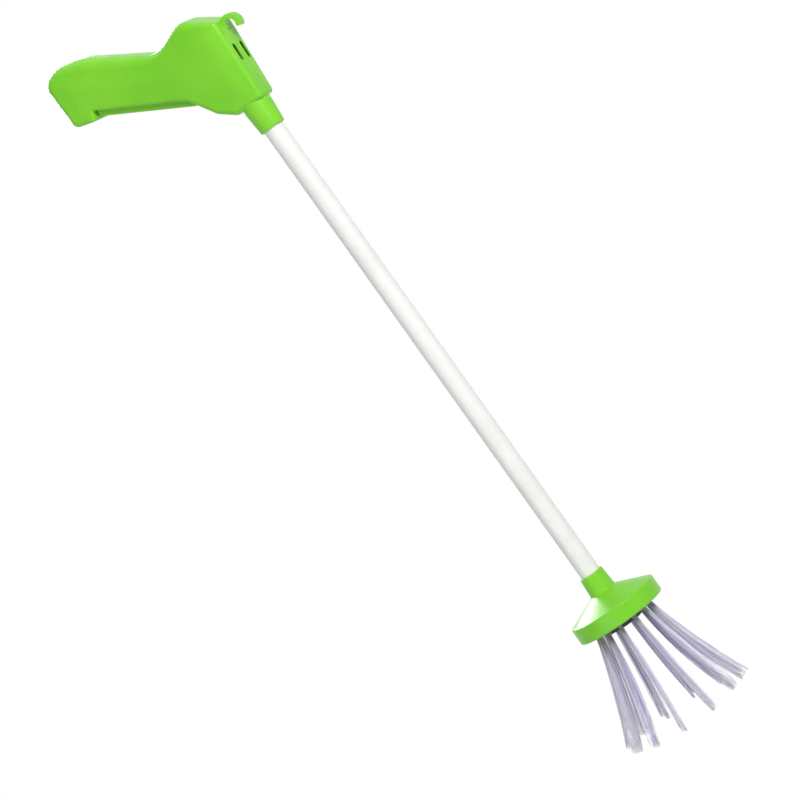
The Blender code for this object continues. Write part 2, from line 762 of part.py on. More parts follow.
def make_head():
    cone_low = rim_height
    cone_top = rim_height + cone_height
    slope = cone_height / (rim_r - collar_low_r)
    drop = head_wall * math.hypot(1.0, slope)
    ceiling = bore_floor - shoulder
    hole_r = tube_r - tube_wall
    inner_rim = rim_r - head_wall
    inner_top = cone_top - (inner_rim - collar_low_r) * slope - drop
    ceiling_r = collar_low_r + (cone_top - drop - ceiling) / slope
    profile = [(inner_rim, 0.0), (rim_r - edge_round, 0.0), (rim_r, edge_round),
               (rim_r, cone_low - edge_round), (rim_r - edge_round, cone_low + edge_round * slope),
               (collar_low_r + edge_round, cone_top - edge_round * slope),
               (collar_low_r, cone_top + edge_round), (collar_high_r, collar_top - edge_round / 3),
               (collar_high_r - edge_round / 3, collar_top), (bore_r, collar_top),
               (bore_r, bore_floor), (hole_r, bore_floor), (hole_r, ceiling),
               (ceiling_r, ceiling), (inner_rim, inner_top)]
    head = turned(profile, 36)
    boss_low = ear_level + ear_thickness + fit_gap
    boss_high = cone_top - (ear_screw_ring_r + ear_boss_r - collar_low_r) * slope - drop / 3
    bosses = []
    holes = []
    for index in range(3):
        place = ear_place(index)[0]
        bosses.append(moved(drum(ear_boss_r, boss_low, boss_high, 10), place))
        holes.append(moved(drum(small_screw_r + fit_gap, boss_low - cut_overrun,
                                boss_high - boss_wall / 2, 8), place))
    return cut(fuse(head, *bosses), *holes)


def ear_place(index):
    turn = sector + index * 2 * math.pi / 3
    return (ear_screw_ring_r * math.cos(turn), ear_screw_ring_r * math.sin(turn), 0.0), turn


def cover_screw_place(index):
    turn = sector + (index * 2 + 1) * math.pi / 3
    ring_r = cover_r - small_head_r
    return (ring_r * math.cos(turn), ring_r * math.sin(turn), 0.0)


def make_pivot_ring():
    plate_top = ring_plate_level + ring_plate
    plate = turned([(fin_inner_r, ring_plate_level), (fin_outer_r, ring_plate_level),
                    (fin_outer_r, plate_top), (fin_inner_r, plate_top)], 24)
    half = fin_thickness / 2
    overlap = ring_plate / 2
    for index in range(tuft_count):
        fin = block((fin_inner_r + overlap / 4, -half, fin_foot),
                    (fin_outer_r - overlap / 4, half, ring_plate_level + overlap))
        plate = fuse(plate, moved(fin, turn=sector + index * 2 * sector))
    ear_end = ear_screw_ring_r + ear_boss_r
    for index in range(3):
        place, turn = ear_place(index)
        ear = block((fin_outer_r - overlap, -ear_width / 2, ear_level),
                    (ear_end, ear_width / 2, ear_level + ear_thickness))
        plate = fuse(plate, moved(ear, turn=turn))
        plate = cut(plate, moved(drum(small_screw_r + fit_gap, ear_level - cut_overrun,
                                      ear_level + ear_thickness + cut_overrun, 8), place))
        plate = cut(plate, moved(drum(small_screw_r + fit_gap, fin_foot - cut_overrun,
                                      fin_foot + small_screw_bite, 8), cover_screw_place(index)))
    return cut(plate, wire_ring(wire_r + fit_gap))


def wire_ring(radius):
    # One wire bent straight between the fins, with its corners inside them
    stretch = 1 / math.cos(sector)
    profile = []
    for step in range(8):
        angle = 2 * math.pi * step / 8
        profile.append(((carrier_pivot_r + radius * math.cos(angle)) * stretch,
                        carrier_pivot_height + radius * math.sin(angle)))
    return moved(turned(profile, tuft_count), turn=sector)


def make_cover():
    floor_top = -cover_drop + cover_floor
    wall_top = fin_foot - fit_gap
    cover = turned([(cover_hole_r, -cover_drop), (cover_r - edge_round / 2, -cover_drop),
                    (cover_r, -cover_drop + edge_round / 2), (cover_r, wall_top),
                    (cover_inner_r, wall_top), (cover_inner_r, floor_top), (cover_hole_r, floor_top)], 24)
    holes = [moved(drum(small_screw_r + fit_gap, -cover_drop - cut_overrun, wall_top + cut_overrun,
                        8), cover_screw_place(index)) for index in range(3)]
    return cut(cover, *holes)


def socket_frame():
    # Points down along the root of an open tuft, from its carrier's axis
    return Matrix.Rotation(-math.radians(root_angle), 4, "Y")


def root_outline(grow):
    inner = plug_inner_half + grow
    outer = plug_outer_half + grow
    along = plug_half + grow
    return [(-along, -inner), (along, -outer), (along, outer), (-along, inner)]


def make_carrier():
    lean = math.radians(trigger_swing)
    arm_half = carrier_arm_width / 2
    nose_x = -carrier_arm * math.cos(lean)
    nose_z = -carrier_arm * math.sin(lean)
    depth = carrier_arm_depth / 2
    arm = block((-carrier_arm, -arm_half, -depth), (0.0, arm_half, depth))
    arm.transform(Matrix.Rotation(-lean, 4, "Y"))
    nose = moved(drum(carrier_nose_r, -arm_half * 0.98, arm_half * 0.98, 8, "Y"),
                 (nose_x, 0.0, nose_z))
    barrel = drum(carrier_barrel_r, -carrier_barrel_half, carrier_barrel_half, 10, "Y")
    socket = prism(root_outline(fit_gap + socket_wall), -socket_top - socket_length, -socket_top,
                   "Z")
    socket.transform(socket_frame())
    hole = prism(root_outline(fit_gap), -socket_top - socket_length - cut_overrun,
                 -socket_top - socket_length + plug_length + 2 * fit_gap, "Z")
    hole.transform(socket_frame())
    wire_hole = drum(wire_r + fit_gap, -carrier_barrel_half - cut_overrun,
                     carrier_barrel_half + cut_overrun, 8, "Y")
    return cut(fuse(barrel, arm, nose, socket), hole, wire_hole)


def tuft_spine(distance):
    # Place and outward lean of an open tuft, at a distance along it from its root
    share = distance / tuft_length
    root = math.radians(root_angle)
    bend = math.radians(tip_angle - root_angle)
    start = socket_top + socket_length
    x = start * math.sin(root)
    z = -start * math.cos(root)
    steps = 24
    for step in range(steps):
        lean = root + bend * share * (step + 0.5) / steps
        x += distance / steps * math.sin(lean)
        z -= distance / steps * math.cos(lean)
    return Vector((x, 0.0, z)), root + bend * share


def make_tuft(seed):
    # Three-sided strands fused to the slice of backing that the carrier's socket holds.
    # The tips' rows fill the tuft's own wedge of the ring when the tufts close.
    chance = random.Random(seed)
    plug_low = -socket_top - socket_length
    tuft = prism(root_outline(0.0), plug_low, plug_low + plug_length, "Z")
    tuft.transform(socket_frame())
    rows = len(strand_rows)
    middle = (tip_inner_r + tip_outer_r) / 2
    points = []
    faces = []
    for row, strands in enumerate(strand_rows):
        row_share = row / (rows - 1)
        closed_r = tip_inner_r + (tip_outer_r - tip_inner_r) * row_share
        tip_out = closed_r - middle
        root_out = (row - (rows - 1) / 2) * strand_root_step
        tip_half = closed_r * math.tan(sector) - tip_side_gap
        root_half = strand_root_step * (strands - 1) / 2
        for strand in range(strands):
            across = 2 * strand / (strands - 1) - 1
            length = tuft_length - tip_uneven * chance.random()
            base = len(points)
            stations = (-strand_sink, length * 0.42, length)
            for distance in stations:
                place, lean = tuft_spine(distance)
                share = max(0.0, distance / tuft_length)
                out = root_out + (tip_out - root_out) * share
                side = (root_half + (tip_half - root_half) * share) * across
                radius = strand_root_r + (strand_tip_r - strand_root_r) * share
                outward = Vector((math.cos(lean), 0.0, math.sin(lean)))
                centre = place + outward * out + Vector((0.0, side, 0.0))
                for corner in range(3):
                    angle = 2 * math.pi * corner / 3 + math.pi / 2
                    points.append(centre + outward * radius * math.cos(angle)
                                  + Vector((0.0, radius * math.sin(angle), 0.0)))
            for level in range(len(stations) - 1):
                for corner in range(3):
                    onward = (corner + 1) % 3
                    low = base + 3 * level
                    faces.append([low + corner, low + onward, low + 3 + onward, low + 3 + corner])
            top = base + 3 * (len(stations) - 1)
            faces.append([base, base + 1, base + 2])
            faces.append([top, top + 1, top + 2])
    return fuse(tuft, closed_mesh(points, faces))


def build():
    clear_scene()
    green = make_material("green_plastic", (0.13, 0.60, 0.035), 0.38)
    white = make_material("white_tube", (0.86, 0.86, 0.82), 0.35)
    black = make_material("black_plastic", (0.02, 0.024, 0.02), 0.45)
    natural = make_material("white_nylon", (0.75, 0.75, 0.70), 0.50)
    steel = make_material("steel", (0.60, 0.60, 0.62), 0.30, 1.0)
    lilac = make_material("lilac_bristle", (0.42, 0.38, 0.70), 0.40, 0.0, 0.8)

    hook_crook = hook_level + hook_inner_r
    frame = add_empty("frame", (-hook_forward, 0.0, -hook_crook))
    # The ring of tufts is turned so that gaps between them face the front and the sides
    head_frame = add_empty("head_frame", (0.0, 0.0, rim_level), turn=sector, parent=frame)

    add_node("left_shell", make_shell(1), green, frame)
    add_node("right_shell", make_shell(-1), green, frame)
    shell_screw = make_screw(screw_head_r, screw_head, shell_screw_r,
                             shell_screw_seat + shell_screw_bite - fit_gap)
    shell_screw.transform(Matrix.Rotation(-math.pi / 2, 4, "X"))
    for index, (x, z) in enumerate(screw_places()):
        add_node(f"shell_screw_{index + 1}", shell_screw, steel, frame,
                 place=(x, shell_screw_seat + fit_gap, z))

    trigger_frame = add_empty("trigger_axis", (pivot_x, 0.0, pivot_level), parent=frame)
    add_node("trigger", make_trigger(), green, trigger_frame)
    add_node("trigger_pin", drum(trigger_pin_r, -trigger_pin_half, trigger_pin_half, 10, "Y"),
             steel, trigger_frame)

    tube_inner = tube_r - tube_wall
    tube_bottom = rim_level + tube_low
    tube = turned([(tube_inner, tube_bottom), (tube_r, tube_bottom), (tube_r, tube_in_neck),
                   (tube_inner, tube_in_neck)], 32)
    add_node("tube", tube, white, frame)

    rod_low = rim_level + hub_level - hub_groove_half + hub_flange / 2 + fit_gap
    rod_high = nose_level + groove_half
    add_node("push_rod", make_rod(rod_low, rod_high), steel, frame)
    add_node("rod_cap", make_cap(), black, frame, place=(0.0, 0.0, nose_level))
    cap_screw_seat = nose_level + groove_half + cap_head - screw_head
    rod_screw = make_screw(screw_head_r, screw_head, screw_r, screw_bite)
    add_node("cap_screw", rod_screw, steel, frame, place=(0.0, 0.0, cap_screw_seat))
    hub_screw_seat = hub_level - hub_groove_half - hub_flange + screw_head
    hub_screw = add_node("hub_screw", rod_screw, steel, head_frame,
                         place=(0.0, 0.0, hub_screw_seat))
    hub_screw.rotation_euler = (math.pi, 0.0, 0.0)

    spring_low = tube_in_neck + guide_flange + 2 * fit_gap
    spring_high = nose_level - groove_half - cap_flange - fit_gap
    add_node("return_spring", make_spring(spring_low, spring_high), steel, frame)
    upper_guide = make_guide()
    upper_guide.transform(Matrix.Rotation(math.pi, 4, "X"))
    add_node("upper_rod_guide", upper_guide, natural, frame, place=(0.0, 0.0,
                                                                    tube_in_neck + fit_gap))
    add_node("lower_rod_guide", make_guide(), natural, frame,
             place=(0.0, 0.0, rim_level + tube_low - fit_gap))

    add_node("head_housing", make_head(), green, head_frame)
    add_node("pivot_ring", make_pivot_ring(), black, head_frame)
    add_node("pivot_wire", wire_ring(wire_r), steel, head_frame)
    add_node("hub", make_hub(), natural, head_frame, place=(0.0, 0.0, hub_level))
    add_node("hub_cover", make_cover(), black, head_frame)
    cover_screw = make_screw(small_head_r, small_head, small_screw_r,
                             small_screw_bite + cover_drop + fin_foot - fit_gap)
    ring_screw = make_screw(small_head_r, small_head, small_screw_r, ear_thickness + small_head)
    cover_seat = Vector((0.0, 0.0, -cover_drop - fit_gap))
    ear_seat = Vector((0.0, 0.0, ear_level - fit_gap))
    for index in range(3):
        node = add_node(f"cover_screw_{index + 1}", cover_screw, steel, head_frame,
                        place=Vector(cover_screw_place(index)) + cover_seat)
        node.rotation_euler = (math.pi, 0.0, 0.0)
        node = add_node(f"ring_screw_{index + 1}", ring_screw, steel, head_frame,
                        place=Vector(ear_place(index)[0]) + ear_seat)
        node.rotation_euler = (math.pi, 0.0, 0.0)

    carrier = make_carrier()
    for index in range(tuft_count):
        turn = index * 2 * sector
        place = (carrier_pivot_r * math.cos(turn), carrier_pivot_r * math.sin(turn),
                 carrier_pivot_height)
        label = f"{index + 1:02d}"
        axis = add_empty("carrier_axis_" + label, place, turn, head_frame)
        add_node("carrier_" + label, carrier, natural, axis)
        add_node("tuft_" + label, make_tuft(index + 1), lilac, axis, smooth=False)


build()
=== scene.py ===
import json
import math
import random

import bmesh
import bpy
import numpy as np
from mathutils import Matrix, Vector
from mathutils.geometry import delaunay_2d_cdt


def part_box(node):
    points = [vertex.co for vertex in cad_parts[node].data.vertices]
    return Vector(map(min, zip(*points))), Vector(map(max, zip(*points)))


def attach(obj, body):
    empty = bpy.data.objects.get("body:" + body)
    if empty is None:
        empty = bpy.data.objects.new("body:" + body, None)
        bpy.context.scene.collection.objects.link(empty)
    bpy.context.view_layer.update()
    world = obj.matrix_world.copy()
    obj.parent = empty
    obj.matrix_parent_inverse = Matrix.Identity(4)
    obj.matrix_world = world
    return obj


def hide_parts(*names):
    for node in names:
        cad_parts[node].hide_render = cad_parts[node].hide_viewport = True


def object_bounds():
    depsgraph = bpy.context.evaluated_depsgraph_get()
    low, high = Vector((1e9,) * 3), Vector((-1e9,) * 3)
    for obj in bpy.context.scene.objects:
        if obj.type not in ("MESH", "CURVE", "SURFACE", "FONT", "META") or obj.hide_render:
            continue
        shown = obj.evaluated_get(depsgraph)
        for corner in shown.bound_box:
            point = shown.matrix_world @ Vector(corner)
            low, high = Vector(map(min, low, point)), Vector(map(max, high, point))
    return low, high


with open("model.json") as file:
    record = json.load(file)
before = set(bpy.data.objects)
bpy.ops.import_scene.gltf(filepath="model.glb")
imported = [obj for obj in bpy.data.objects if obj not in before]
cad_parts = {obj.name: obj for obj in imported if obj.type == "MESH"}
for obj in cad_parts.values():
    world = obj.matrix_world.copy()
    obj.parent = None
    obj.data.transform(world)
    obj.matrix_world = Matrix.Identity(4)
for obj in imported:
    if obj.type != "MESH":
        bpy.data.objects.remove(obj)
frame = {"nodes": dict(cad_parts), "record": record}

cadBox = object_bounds()
print("frame loaded:", len(frame["nodes"]), "nodes")

# Places that every piece is built from: the tube's axis, the neck's lower edge and the head's rim
fits = {"gap": 0.0003, "overrun": 0.002, "tubeInNeck": 0.034, "weld": 0.000002}
tubeLow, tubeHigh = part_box("tube")
headLow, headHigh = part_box("head_housing")
tubeR = (tubeHigh.x - tubeLow.x) / 2
axisX = (tubeHigh.x + tubeLow.x) / 2
neckZ = tubeHigh.z - fits["tubeInNeck"]
rimZ = headLow.z
atNeck = Matrix.Translation((axisX, 0, neckZ))
atRim = Matrix.Translation((axisX, 0, rimZ))


# Shader maths: a wire is a socket that takes part in sums
class Wire:
    def __init__(self, tree, socket):
        self.tree = tree
        self.socket = socket

    def combine(self, operation, first, second):
        node = self.tree.nodes.new("ShaderNodeMath")
        node.operation = operation
        for place, value in enumerate((first, second)):
            if isinstance(value, Wire):
                self.tree.links.new(value.socket, node.inputs[place])
            else:
                node.inputs[place].default_value = value
        return Wire(self.tree, node.outputs[0])

    def __add__(self, other):
        return self.combine("ADD", self, other)

    def __radd__(self, other):
        return self.combine("ADD", other, self)

    def __sub__(self, other):
        return self.combine("SUBTRACT", self, other)

    def __rsub__(self, other):
        return self.combine("SUBTRACT", other, self)

    def __mul__(self, other):
        return self.combine("MULTIPLY", self, other)

    def __rmul__(self, other):
        return self.combine("MULTIPLY", other, self)


# A material, or the world, built node by node
class Finish:
    def __init__(self, name, kind="materials"):
        self.owner = getattr(bpy.data, kind).new(name)
        self.owner.use_nodes = True
        self.tree = self.owner.node_tree
        self.tree.nodes.clear()

    def node(self, kind, settings=None, sockets=None, out=0):
        made = self.tree.nodes.new("ShaderNode" + kind)
        for name, value in (settings or {}).items():
            if name == "stops":
                ramp = made.color_ramp
                while len(ramp.elements) < len(value):
                    ramp.elements.new(0.5)
                for element, (place, colour) in zip(ramp.elements, value):
                    element.position = place
                    element.color = (*colour, 1)
            else:
                setattr(made, name, value)
        for name, value in (sockets or {}).items():
            if isinstance(value, Wire):
                self.tree.links.new(value.socket, made.inputs[name])
            else:
                made.inputs[name].default_value = value
        return Wire(self.tree, made.outputs[out]) if made.outputs else None

    def place(self):
        return self.node("TexCoord", out="Object")

    def stretched(self, scale):
        return self.node("Mapping", {}, {"Vector": self.place(), "Scale": scale})

    def noise(self, where, scale, detail, roughness):
        return self.node("TexNoise", {}, {"Vector": where, "Scale": scale, "Detail": detail,
                                          "Roughness": roughness})

    def tones(self, factor, stops):
        return self.node("ValToRGB", {"stops": stops}, {"Fac": factor})

    def blend(self, factor, under, colour):
        # The colour sockets of Mix share their names with others, so they go by number
        sockets = {0: factor, 6: under, 7: (*colour, 1)}
        return self.node("Mix", {"data_type": "RGBA"}, sockets, out=2)

    def bump(self, height, strength, distance, normal=None):
        sockets = {"Height": height, "Strength": strength, "Distance": distance}
        if normal:
            sockets["Normal"] = normal
        return self.node("Bump", {}, sockets)

    def shade(self, sockets):
        shader = self.node("BsdfPrincipled", {}, sockets)
        self.node("OutputMaterial", {}, {"Surface": shader})
        return self.owner


black = (0, 0, 0)
white = (1, 1, 1)
grainDepth = 0.00002

# In every look a noise is (scale, detail, roughness), and tones are (place, colour) stops
greenLook = {
    "tones": [(0.32, (0.170, 0.600, 0.014)), (0.68, (0.225, 0.680, 0.026))],
    "flow": (22, 4, 0.55), "handled": (70.4, 5, 0.65), "roughness": 0.24, "handledRougher": 0.16,
    "dust": (0.42, 0.66, 0.22), "dustShare": 0.10, "dustFrom": 0.60, "dustTo": 0.85,
    "grain": (1500, 2, 0.5), "grainStrength": 0.55, "specular": 0.35,
    "marks": (198, 3, 0.55), "markStretch": 0.12, "markStrength": 0.10, "markDepth": 0.00006}


def greenPlastic():
    # Satin moulded plastic: a fine spark-eroded grain, faint flow marks, handled patches duller
    look = greenLook
    finish = Finish("limeGreenPlastic")
    where = finish.place()
    handled = finish.noise(where, *look["handled"])
    marks = finish.noise(finish.stretched((1, 1, look["markStretch"])), *look["marks"])
    colour = finish.tones(finish.noise(where, *look["flow"]), look["tones"])
    dust = finish.tones(handled, [(look["dustFrom"], black), (look["dustTo"], white)])
    raised = finish.bump(marks, look["markStrength"], look["markDepth"])
    grain = finish.noise(where, *look["grain"])
    return finish.shade({
        "Base Color": finish.blend(dust * look["dustShare"], colour, look["dust"]),
        "Roughness": look["roughness"] + handled * look["handledRougher"],
        "Specular IOR Level": look["specular"],
        "Normal": finish.bump(grain, look["grainStrength"], grainDepth, raised)})


tubeLook = {
    "tones": [(0.30, (0.82, 0.82, 0.795)), (0.55, (0.87, 0.87, 0.85))],
    "smudge": (34, 4, 0.55), "roughness": 0.24, "smudgeRougher": 0.14, "scuffRougher": 0.14,
    "scuffs": (260, 6, 0.7), "scuffStretch": 0.35, "scuffFrom": 0.63, "scuffTo": 0.76,
    "scuffTone": (0.62, 0.61, 0.57), "scuffShare": 0.22, "scuffStrength": 0.12,
    "lines": (900, 2, 0.6), "lineStretch": 0.004, "lineStrength": 0.20, "depth": 0.00003,
    "specular": 0.5}


def whiteTube():
    # Smooth extruded tube: draw lines along it, faint scuffs and a little dust
    look = tubeLook
    finish = Finish("whiteExtrudedTube")
    lines = finish.noise(finish.stretched((1, 1, look["lineStretch"])), *look["lines"])
    scuffs = finish.noise(finish.stretched((1, 1, look["scuffStretch"])), *look["scuffs"])
    smudge = finish.noise(finish.place(), *look["smudge"])
    worn = finish.tones(scuffs, [(look["scuffFrom"], black), (look["scuffTo"], white)])
    colour = finish.tones(smudge, look["tones"])
    rough = look["roughness"] + smudge * look["smudgeRougher"]
    drawn = finish.bump(lines, look["lineStrength"], look["depth"])
    return finish.shade({
        "Base Color": finish.blend(worn * look["scuffShare"], colour, look["scuffTone"]),
        "Roughness": rough + worn * look["scuffRougher"], "Specular IOR Level": look["specular"],
        "Normal": finish.bump(worn, look["scuffStrength"], look["depth"], drawn)})


darkLook = {
    "tones": [(0.45, (0.018, 0.021, 0.018)), (0.80, (0.060, 0.064, 0.058))],
    "cloud": (120, 5, 0.7), "roughness": 0.40, "rougher": 0.18, "metallic": 0,
    "grain": (1900, 2, 0.55), "grainStretch": 1, "grainStrength": 0.5}
nylonLook = {
    "tones": [(0.35, (0.66, 0.65, 0.58)), (0.70, (0.80, 0.79, 0.73))],
    "cloud": (140, 4, 0.55), "roughness": 0.42, "rougher": 0.12, "metallic": 0,
    "grain": (1700, 2, 0.55), "grainStretch": 1, "grainStrength": 0.4}
zincLook = {
    "tones": [(0.35, (0.48, 0.48, 0.49)), (0.70, (0.70, 0.70, 0.71))],
    "cloud": (300, 5, 0.7), "roughness": 0.22, "rougher": 0.22, "metallic": 1,
    "grain": (1600, 2, 0.55), "grainStretch": 0.02, "grainStrength": 0.25}


def cloudedFinish(name, look):
    # Two tones that cloud into each other over a fine grain, which is drawn out to lines on zinc
    finish = Finish(name)
    cloud = finish.noise(finish.place(), *look["cloud"])
    grain = finish.noise(finish.stretched((1, 1, look["grainStretch"])), *look["grain"])
    return finish.shade({
        "Base Color": finish.tones(cloud, look["tones"]), "Metallic": look["metallic"],
        "Roughness": look["roughness"] + cloud * look["rougher"],
        "Normal": finish.bump(grain, look["grainStrength"], grainDepth)})


# The first tone stop is painted shade: grey at the root, where the strands pack and shade each
# other
bristleLook = {
    "tones": [(0.02, (0.48, 0.48, 0.50)), (0.22, (0.80, 0.77, 0.93)), (0.52, (0.86, 0.81, 0.99)),
              (0.96, (0.96, 0.95, 0.99))],
    "dapple": (420, 3, 0.6), "dappleReach": 0.16, "toneReach": 0.12,
    "pale": (0.92, 0.91, 0.99), "paleShare": 0.60,
    "deep": (0.42, 0.36, 0.74), "deepShare": 0.7, "deepTo": 0.05, "deepEnd": 0.28,
    "roughness": 0.30, "rougher": 0.12, "specular": 0.55}


def lilacBristle():
    # Nylon filament: painted shade greys its packed root, lilac beyond, each strand its own tone
    look = bristleLook
    finish = Finish("lilacNylonFilament")
    along = finish.node("Attribute", {"attribute_name": "along"}, out="Fac")
    tone = finish.node("Attribute", {"attribute_name": "tone"}, out="Fac")
    dapple = finish.noise(finish.place(), *look["dapple"])
    reach = along + (dapple - 0.5) * look["dappleReach"] + (tone - 0.5) * look["toneReach"]
    colour = finish.tones(reach, look["tones"])
    colour = finish.blend(tone * look["paleShare"], colour, look["pale"])
    deep = finish.tones(tone, [(look["deepTo"], white), (look["deepEnd"], black)])
    return finish.shade({
        "Base Color": finish.blend(deep * look["deepShare"], colour, look["deep"]),
        "Roughness": look["roughness"] + dapple * look["rougher"],
        "Specular IOR Level": look["specular"]})


finishes = {"green_plastic": greenPlastic(), "white_tube": whiteTube(),
            "black_plastic": cloudedFinish("blackMouldedPlastic", darkLook),
            "white_nylon": cloudedFinish("naturalNylon", nylonLook),
            "steel": cloudedFinish("zincPlatedSteel", zincLook), "lilac_bristle": lilacBristle()}
print("finishes made")


# Mesh tools
def meshOf(points, faces):
    mesh = bpy.data.meshes.new("shape")
    mesh.from_pydata([tuple(point) for point in points], [], faces)
    work = bmesh.new()
    work.from_mesh(mesh)
    bmesh.ops.remove_doubles(work, verts=work.verts, dist=fits["weld"])
    bmesh.ops.dissolve_degenerate(work, edges=work.edges, dist=fits["weld"])
    bmesh.ops.recalc_face_normals(work, faces=work.faces)
    work.to_mesh(mesh)
    work.free()
    return mesh


def joinMeshes(meshes):
    # Bodies that lie apart, kept as one mesh
    work = bmesh.new()
    for mesh in meshes:
        work.from_mesh(mesh)
    joined = bpy.data.meshes.new("joined")
    work.to_mesh(joined)
    work.free()
    return joined


def boolean(base, tool, operation):
    first = bpy.data.objects.new("first", base)
    second = bpy.data.objects.new("second", tool)
    for item in (first, second):
        bpy.context.scene.collection.objects.link(item)
    modifier = first.modifiers.new("boolean", "BOOLEAN")
    modifier.object = second
    modifier.operation = operation
    bpy.context.view_layer.update()
    ready = first.evaluated_get(bpy.context.evaluated_depsgraph_get())
    result = bpy.data.meshes.new_from_object(ready)
    bpy.data.objects.remove(first)
    bpy.data.objects.remove(second)
    result.materials.clear()
    return result


def shifted(mesh, matrix):
    copy = mesh.copy()
    copy.transform(matrix)
    return copy


def spun(profile, steps):
    # A closed outline of (radius, height) turned about Z; radius zero is one point
    points = []
    rings = []
    for radius, height in profile:
        start = len(points)
        if radius == 0:
            points.append((0, 0, height))
            rings.append([start] * steps)
            continue
        for step in range(steps):
            angle = 2 * math.pi * step / steps
            points.append((radius * math.cos(angle), radius * math.sin(angle), height))
        rings.append(list(range(start, start + steps)))
    faces = []
    for index, ring in enumerate(rings):
        after = rings[(index + 1) % len(rings)]
        if profile[index][0] == 0 and profile[(index + 1) % len(rings)][0] == 0:
            continue
        for step in range(steps):
            onward = (step + 1) % steps
            corners = [ring[step], ring[onward], after[onward], after[step]]
            faces.append(list(dict.fromkeys(corners)))
    return meshOf(points, faces)


def arc(centre, radius, start, end, steps):
    turns = [math.radians(start + (end - start) * step / steps) for step in range(steps + 1)]
    return [(centre[0] + radius * math.cos(turn), centre[1] + radius * math.sin(turn))
            for turn in turns]


straight = math.radians(179.5)


def rounded(corners, arcStep):
    # Fillets each corner (x, y, fillet, ...) and carries what follows the fillet to its points
    points = []
    for index, (x, y, fillet, *rest) in enumerate(corners):
        here = Vector((x, y))
        before = (Vector(corners[index - 1][:2]) - here).normalized()
        after = (Vector(corners[(index + 1) % len(corners)][:2]) - here).normalized()
        opening = before.angle(after)
        if fillet == 0 or opening > straight:
            points.append((x, y, *rest))
            continue
        centre = here + (before + after).normalized() * (fillet / math.sin(opening / 2))
        start = here + before * (fillet / math.tan(opening / 2)) - centre
        turn = 1 if before.x * after.y - before.y * after.x < 0 else -1
        bend = math.pi - opening
        steps = max(1, round(math.degrees(bend) / arcStep))
        for step in range(steps + 1):
            angle = turn * bend * step / steps
            swung = Matrix.Rotation(angle, 2) @ start
            points.append((*(centre + swung), *rest))
    return points


def extruded(outline, low, high, axis="Y"):
    # A prism from an outline, which lies in the other two axes, in their order
    count = len(outline)
    place = "XYZ".index(axis)
    points = []
    for level in (low, high):
        for point in outline:
            flat = list(point[:2])
            flat.insert(place, level)
            points.append(flat)
    faces = [list(range(count)), list(range(count, 2 * count))]
    for index in range(count):
        onward = (index + 1) % count
        faces.append([index, onward, count + onward, count + index])
    return meshOf(points, faces)


zToY = Matrix.Rotation(-math.pi / 2, 4, "X")


def rod(radius, low, high, steps, axis="Z"):
    mesh = spun([(0, low), (radius, low), (radius, high), (0, high)], steps)
    if axis == "Y":
        mesh.transform(zToY)
    return mesh


def aroundAxis(radius, turn):
    return Matrix.Translation((radius * math.cos(turn), radius * math.sin(turn), 0))


def between(first, last, share):
    return first + (last - first) * share


def addPiece(name, mesh, slot, body, node, sharp=30):
    piece = bpy.data.objects.new(name, mesh)
    bpy.context.scene.collection.objects.link(piece)
    mesh.materials.clear()
    mesh.materials.append(finishes[slot])
    mesh.shade_smooth()
    mesh.set_sharp_from_angle(angle=math.radians(sharp))
    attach(piece, body)
    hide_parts(node)


# The handle's two shells
handle = {
    "neckWall": 0.0019, "neckFlare": 0.00145, "neckLength": 0.0185, "neckRise": 0.0055,
    "bodyFloor": 0.0216, "bodyStep": 0.0019, "frontLean": 0.0032, "frontHeight": 0.0632,
    "gripReach": 0.1325, "height": 0.1320, "wall": 0.0022, "partingGap": 0.0003,
    "frontLowHalf": 0.0110, "frontHighHalf": 0.0138, "bodyLowHalf": 0.0128,
    "bodyHighHalf": 0.0155, "gripHalf": 0.0135, "flareDepth": 0.0130, "crown": 0.0008,
    "crownDepth": 0.014, "ribThickness": 0.0022, "bossWall": 0.0013,
    "guideFlange": 0.0015, "seatBoreR": 0.0066,
    "slotHeight": 0.0140, "slotWidth": 0.0046, "slotSpacing": 0.0120, "slotLevel": 0.0586,
    "slotSkin": 0.0008,
    "hookWidth": 0.0080, "hookStrap": 0.0038, "hookInnerR": 0.0047, "hookLevel": 0.0776,
    "hookForward": 0.0213, "hookFoot": 0.0055, "hookTip": -35.0, "hookTipSlant": 6,
    "hookRound": 0.0007, "hookRoundSteps": 3, "hookRoundAngle": 50,
    "screwHeadR": 0.0026, "screwShankR": 0.0014, "screwSeat": 0.0070, "screwBite": 0.0088,
    "pivotX": -0.0238685, "pivotLevel": 0.0620, "pinR": 0.0015, "pinHalf": 0.0117,
    "mouthReach": 0.08918, "triggerWidth": 0.0160, "sharp": 24}
# Corners of the side outline: x as a share of the grip's reach, z of the handle's height, then
# the fillet and the edge's rounding as shares of the grip's reach. Over the top and down the butt
outlineShares = [(-0.060, 0.771, 0.098, 0.042), (-0.298, 0.707, 0.166, 0.053),
                 (-0.725, 0.971, 0.317, 0.064), (-0.872, 1.004, 0.136, 0.053),
                 (-0.993, 0.966, 0.075, 0.045)]
# The prong round the mouth's end: angle at the pin, share of the mouth's reach, fillet, edge
prongShares = [(166.1, 1.217, 0.038, 0.030), (166.6, 1.0, 0.024, 0.016),
               (161.5, 1.0, 0.008, 0.015)]
lowShares = [(-0.298, 0.402, 0.045, 0.023), (-0.196, 0.239, 0.068, 0.034)]  # under the grip
footShares = (0.034, 0.045)  # fillet and edge at the back of the foot
frontShares = (0.026, 0.028, 0.030, 0.020)  # the same at the front's foot, then at its top
screwShares = [(-0.906, 0.848), (-0.453, 0.727), (-0.106, 0.681), (-0.128, 0.287)]  # x and z
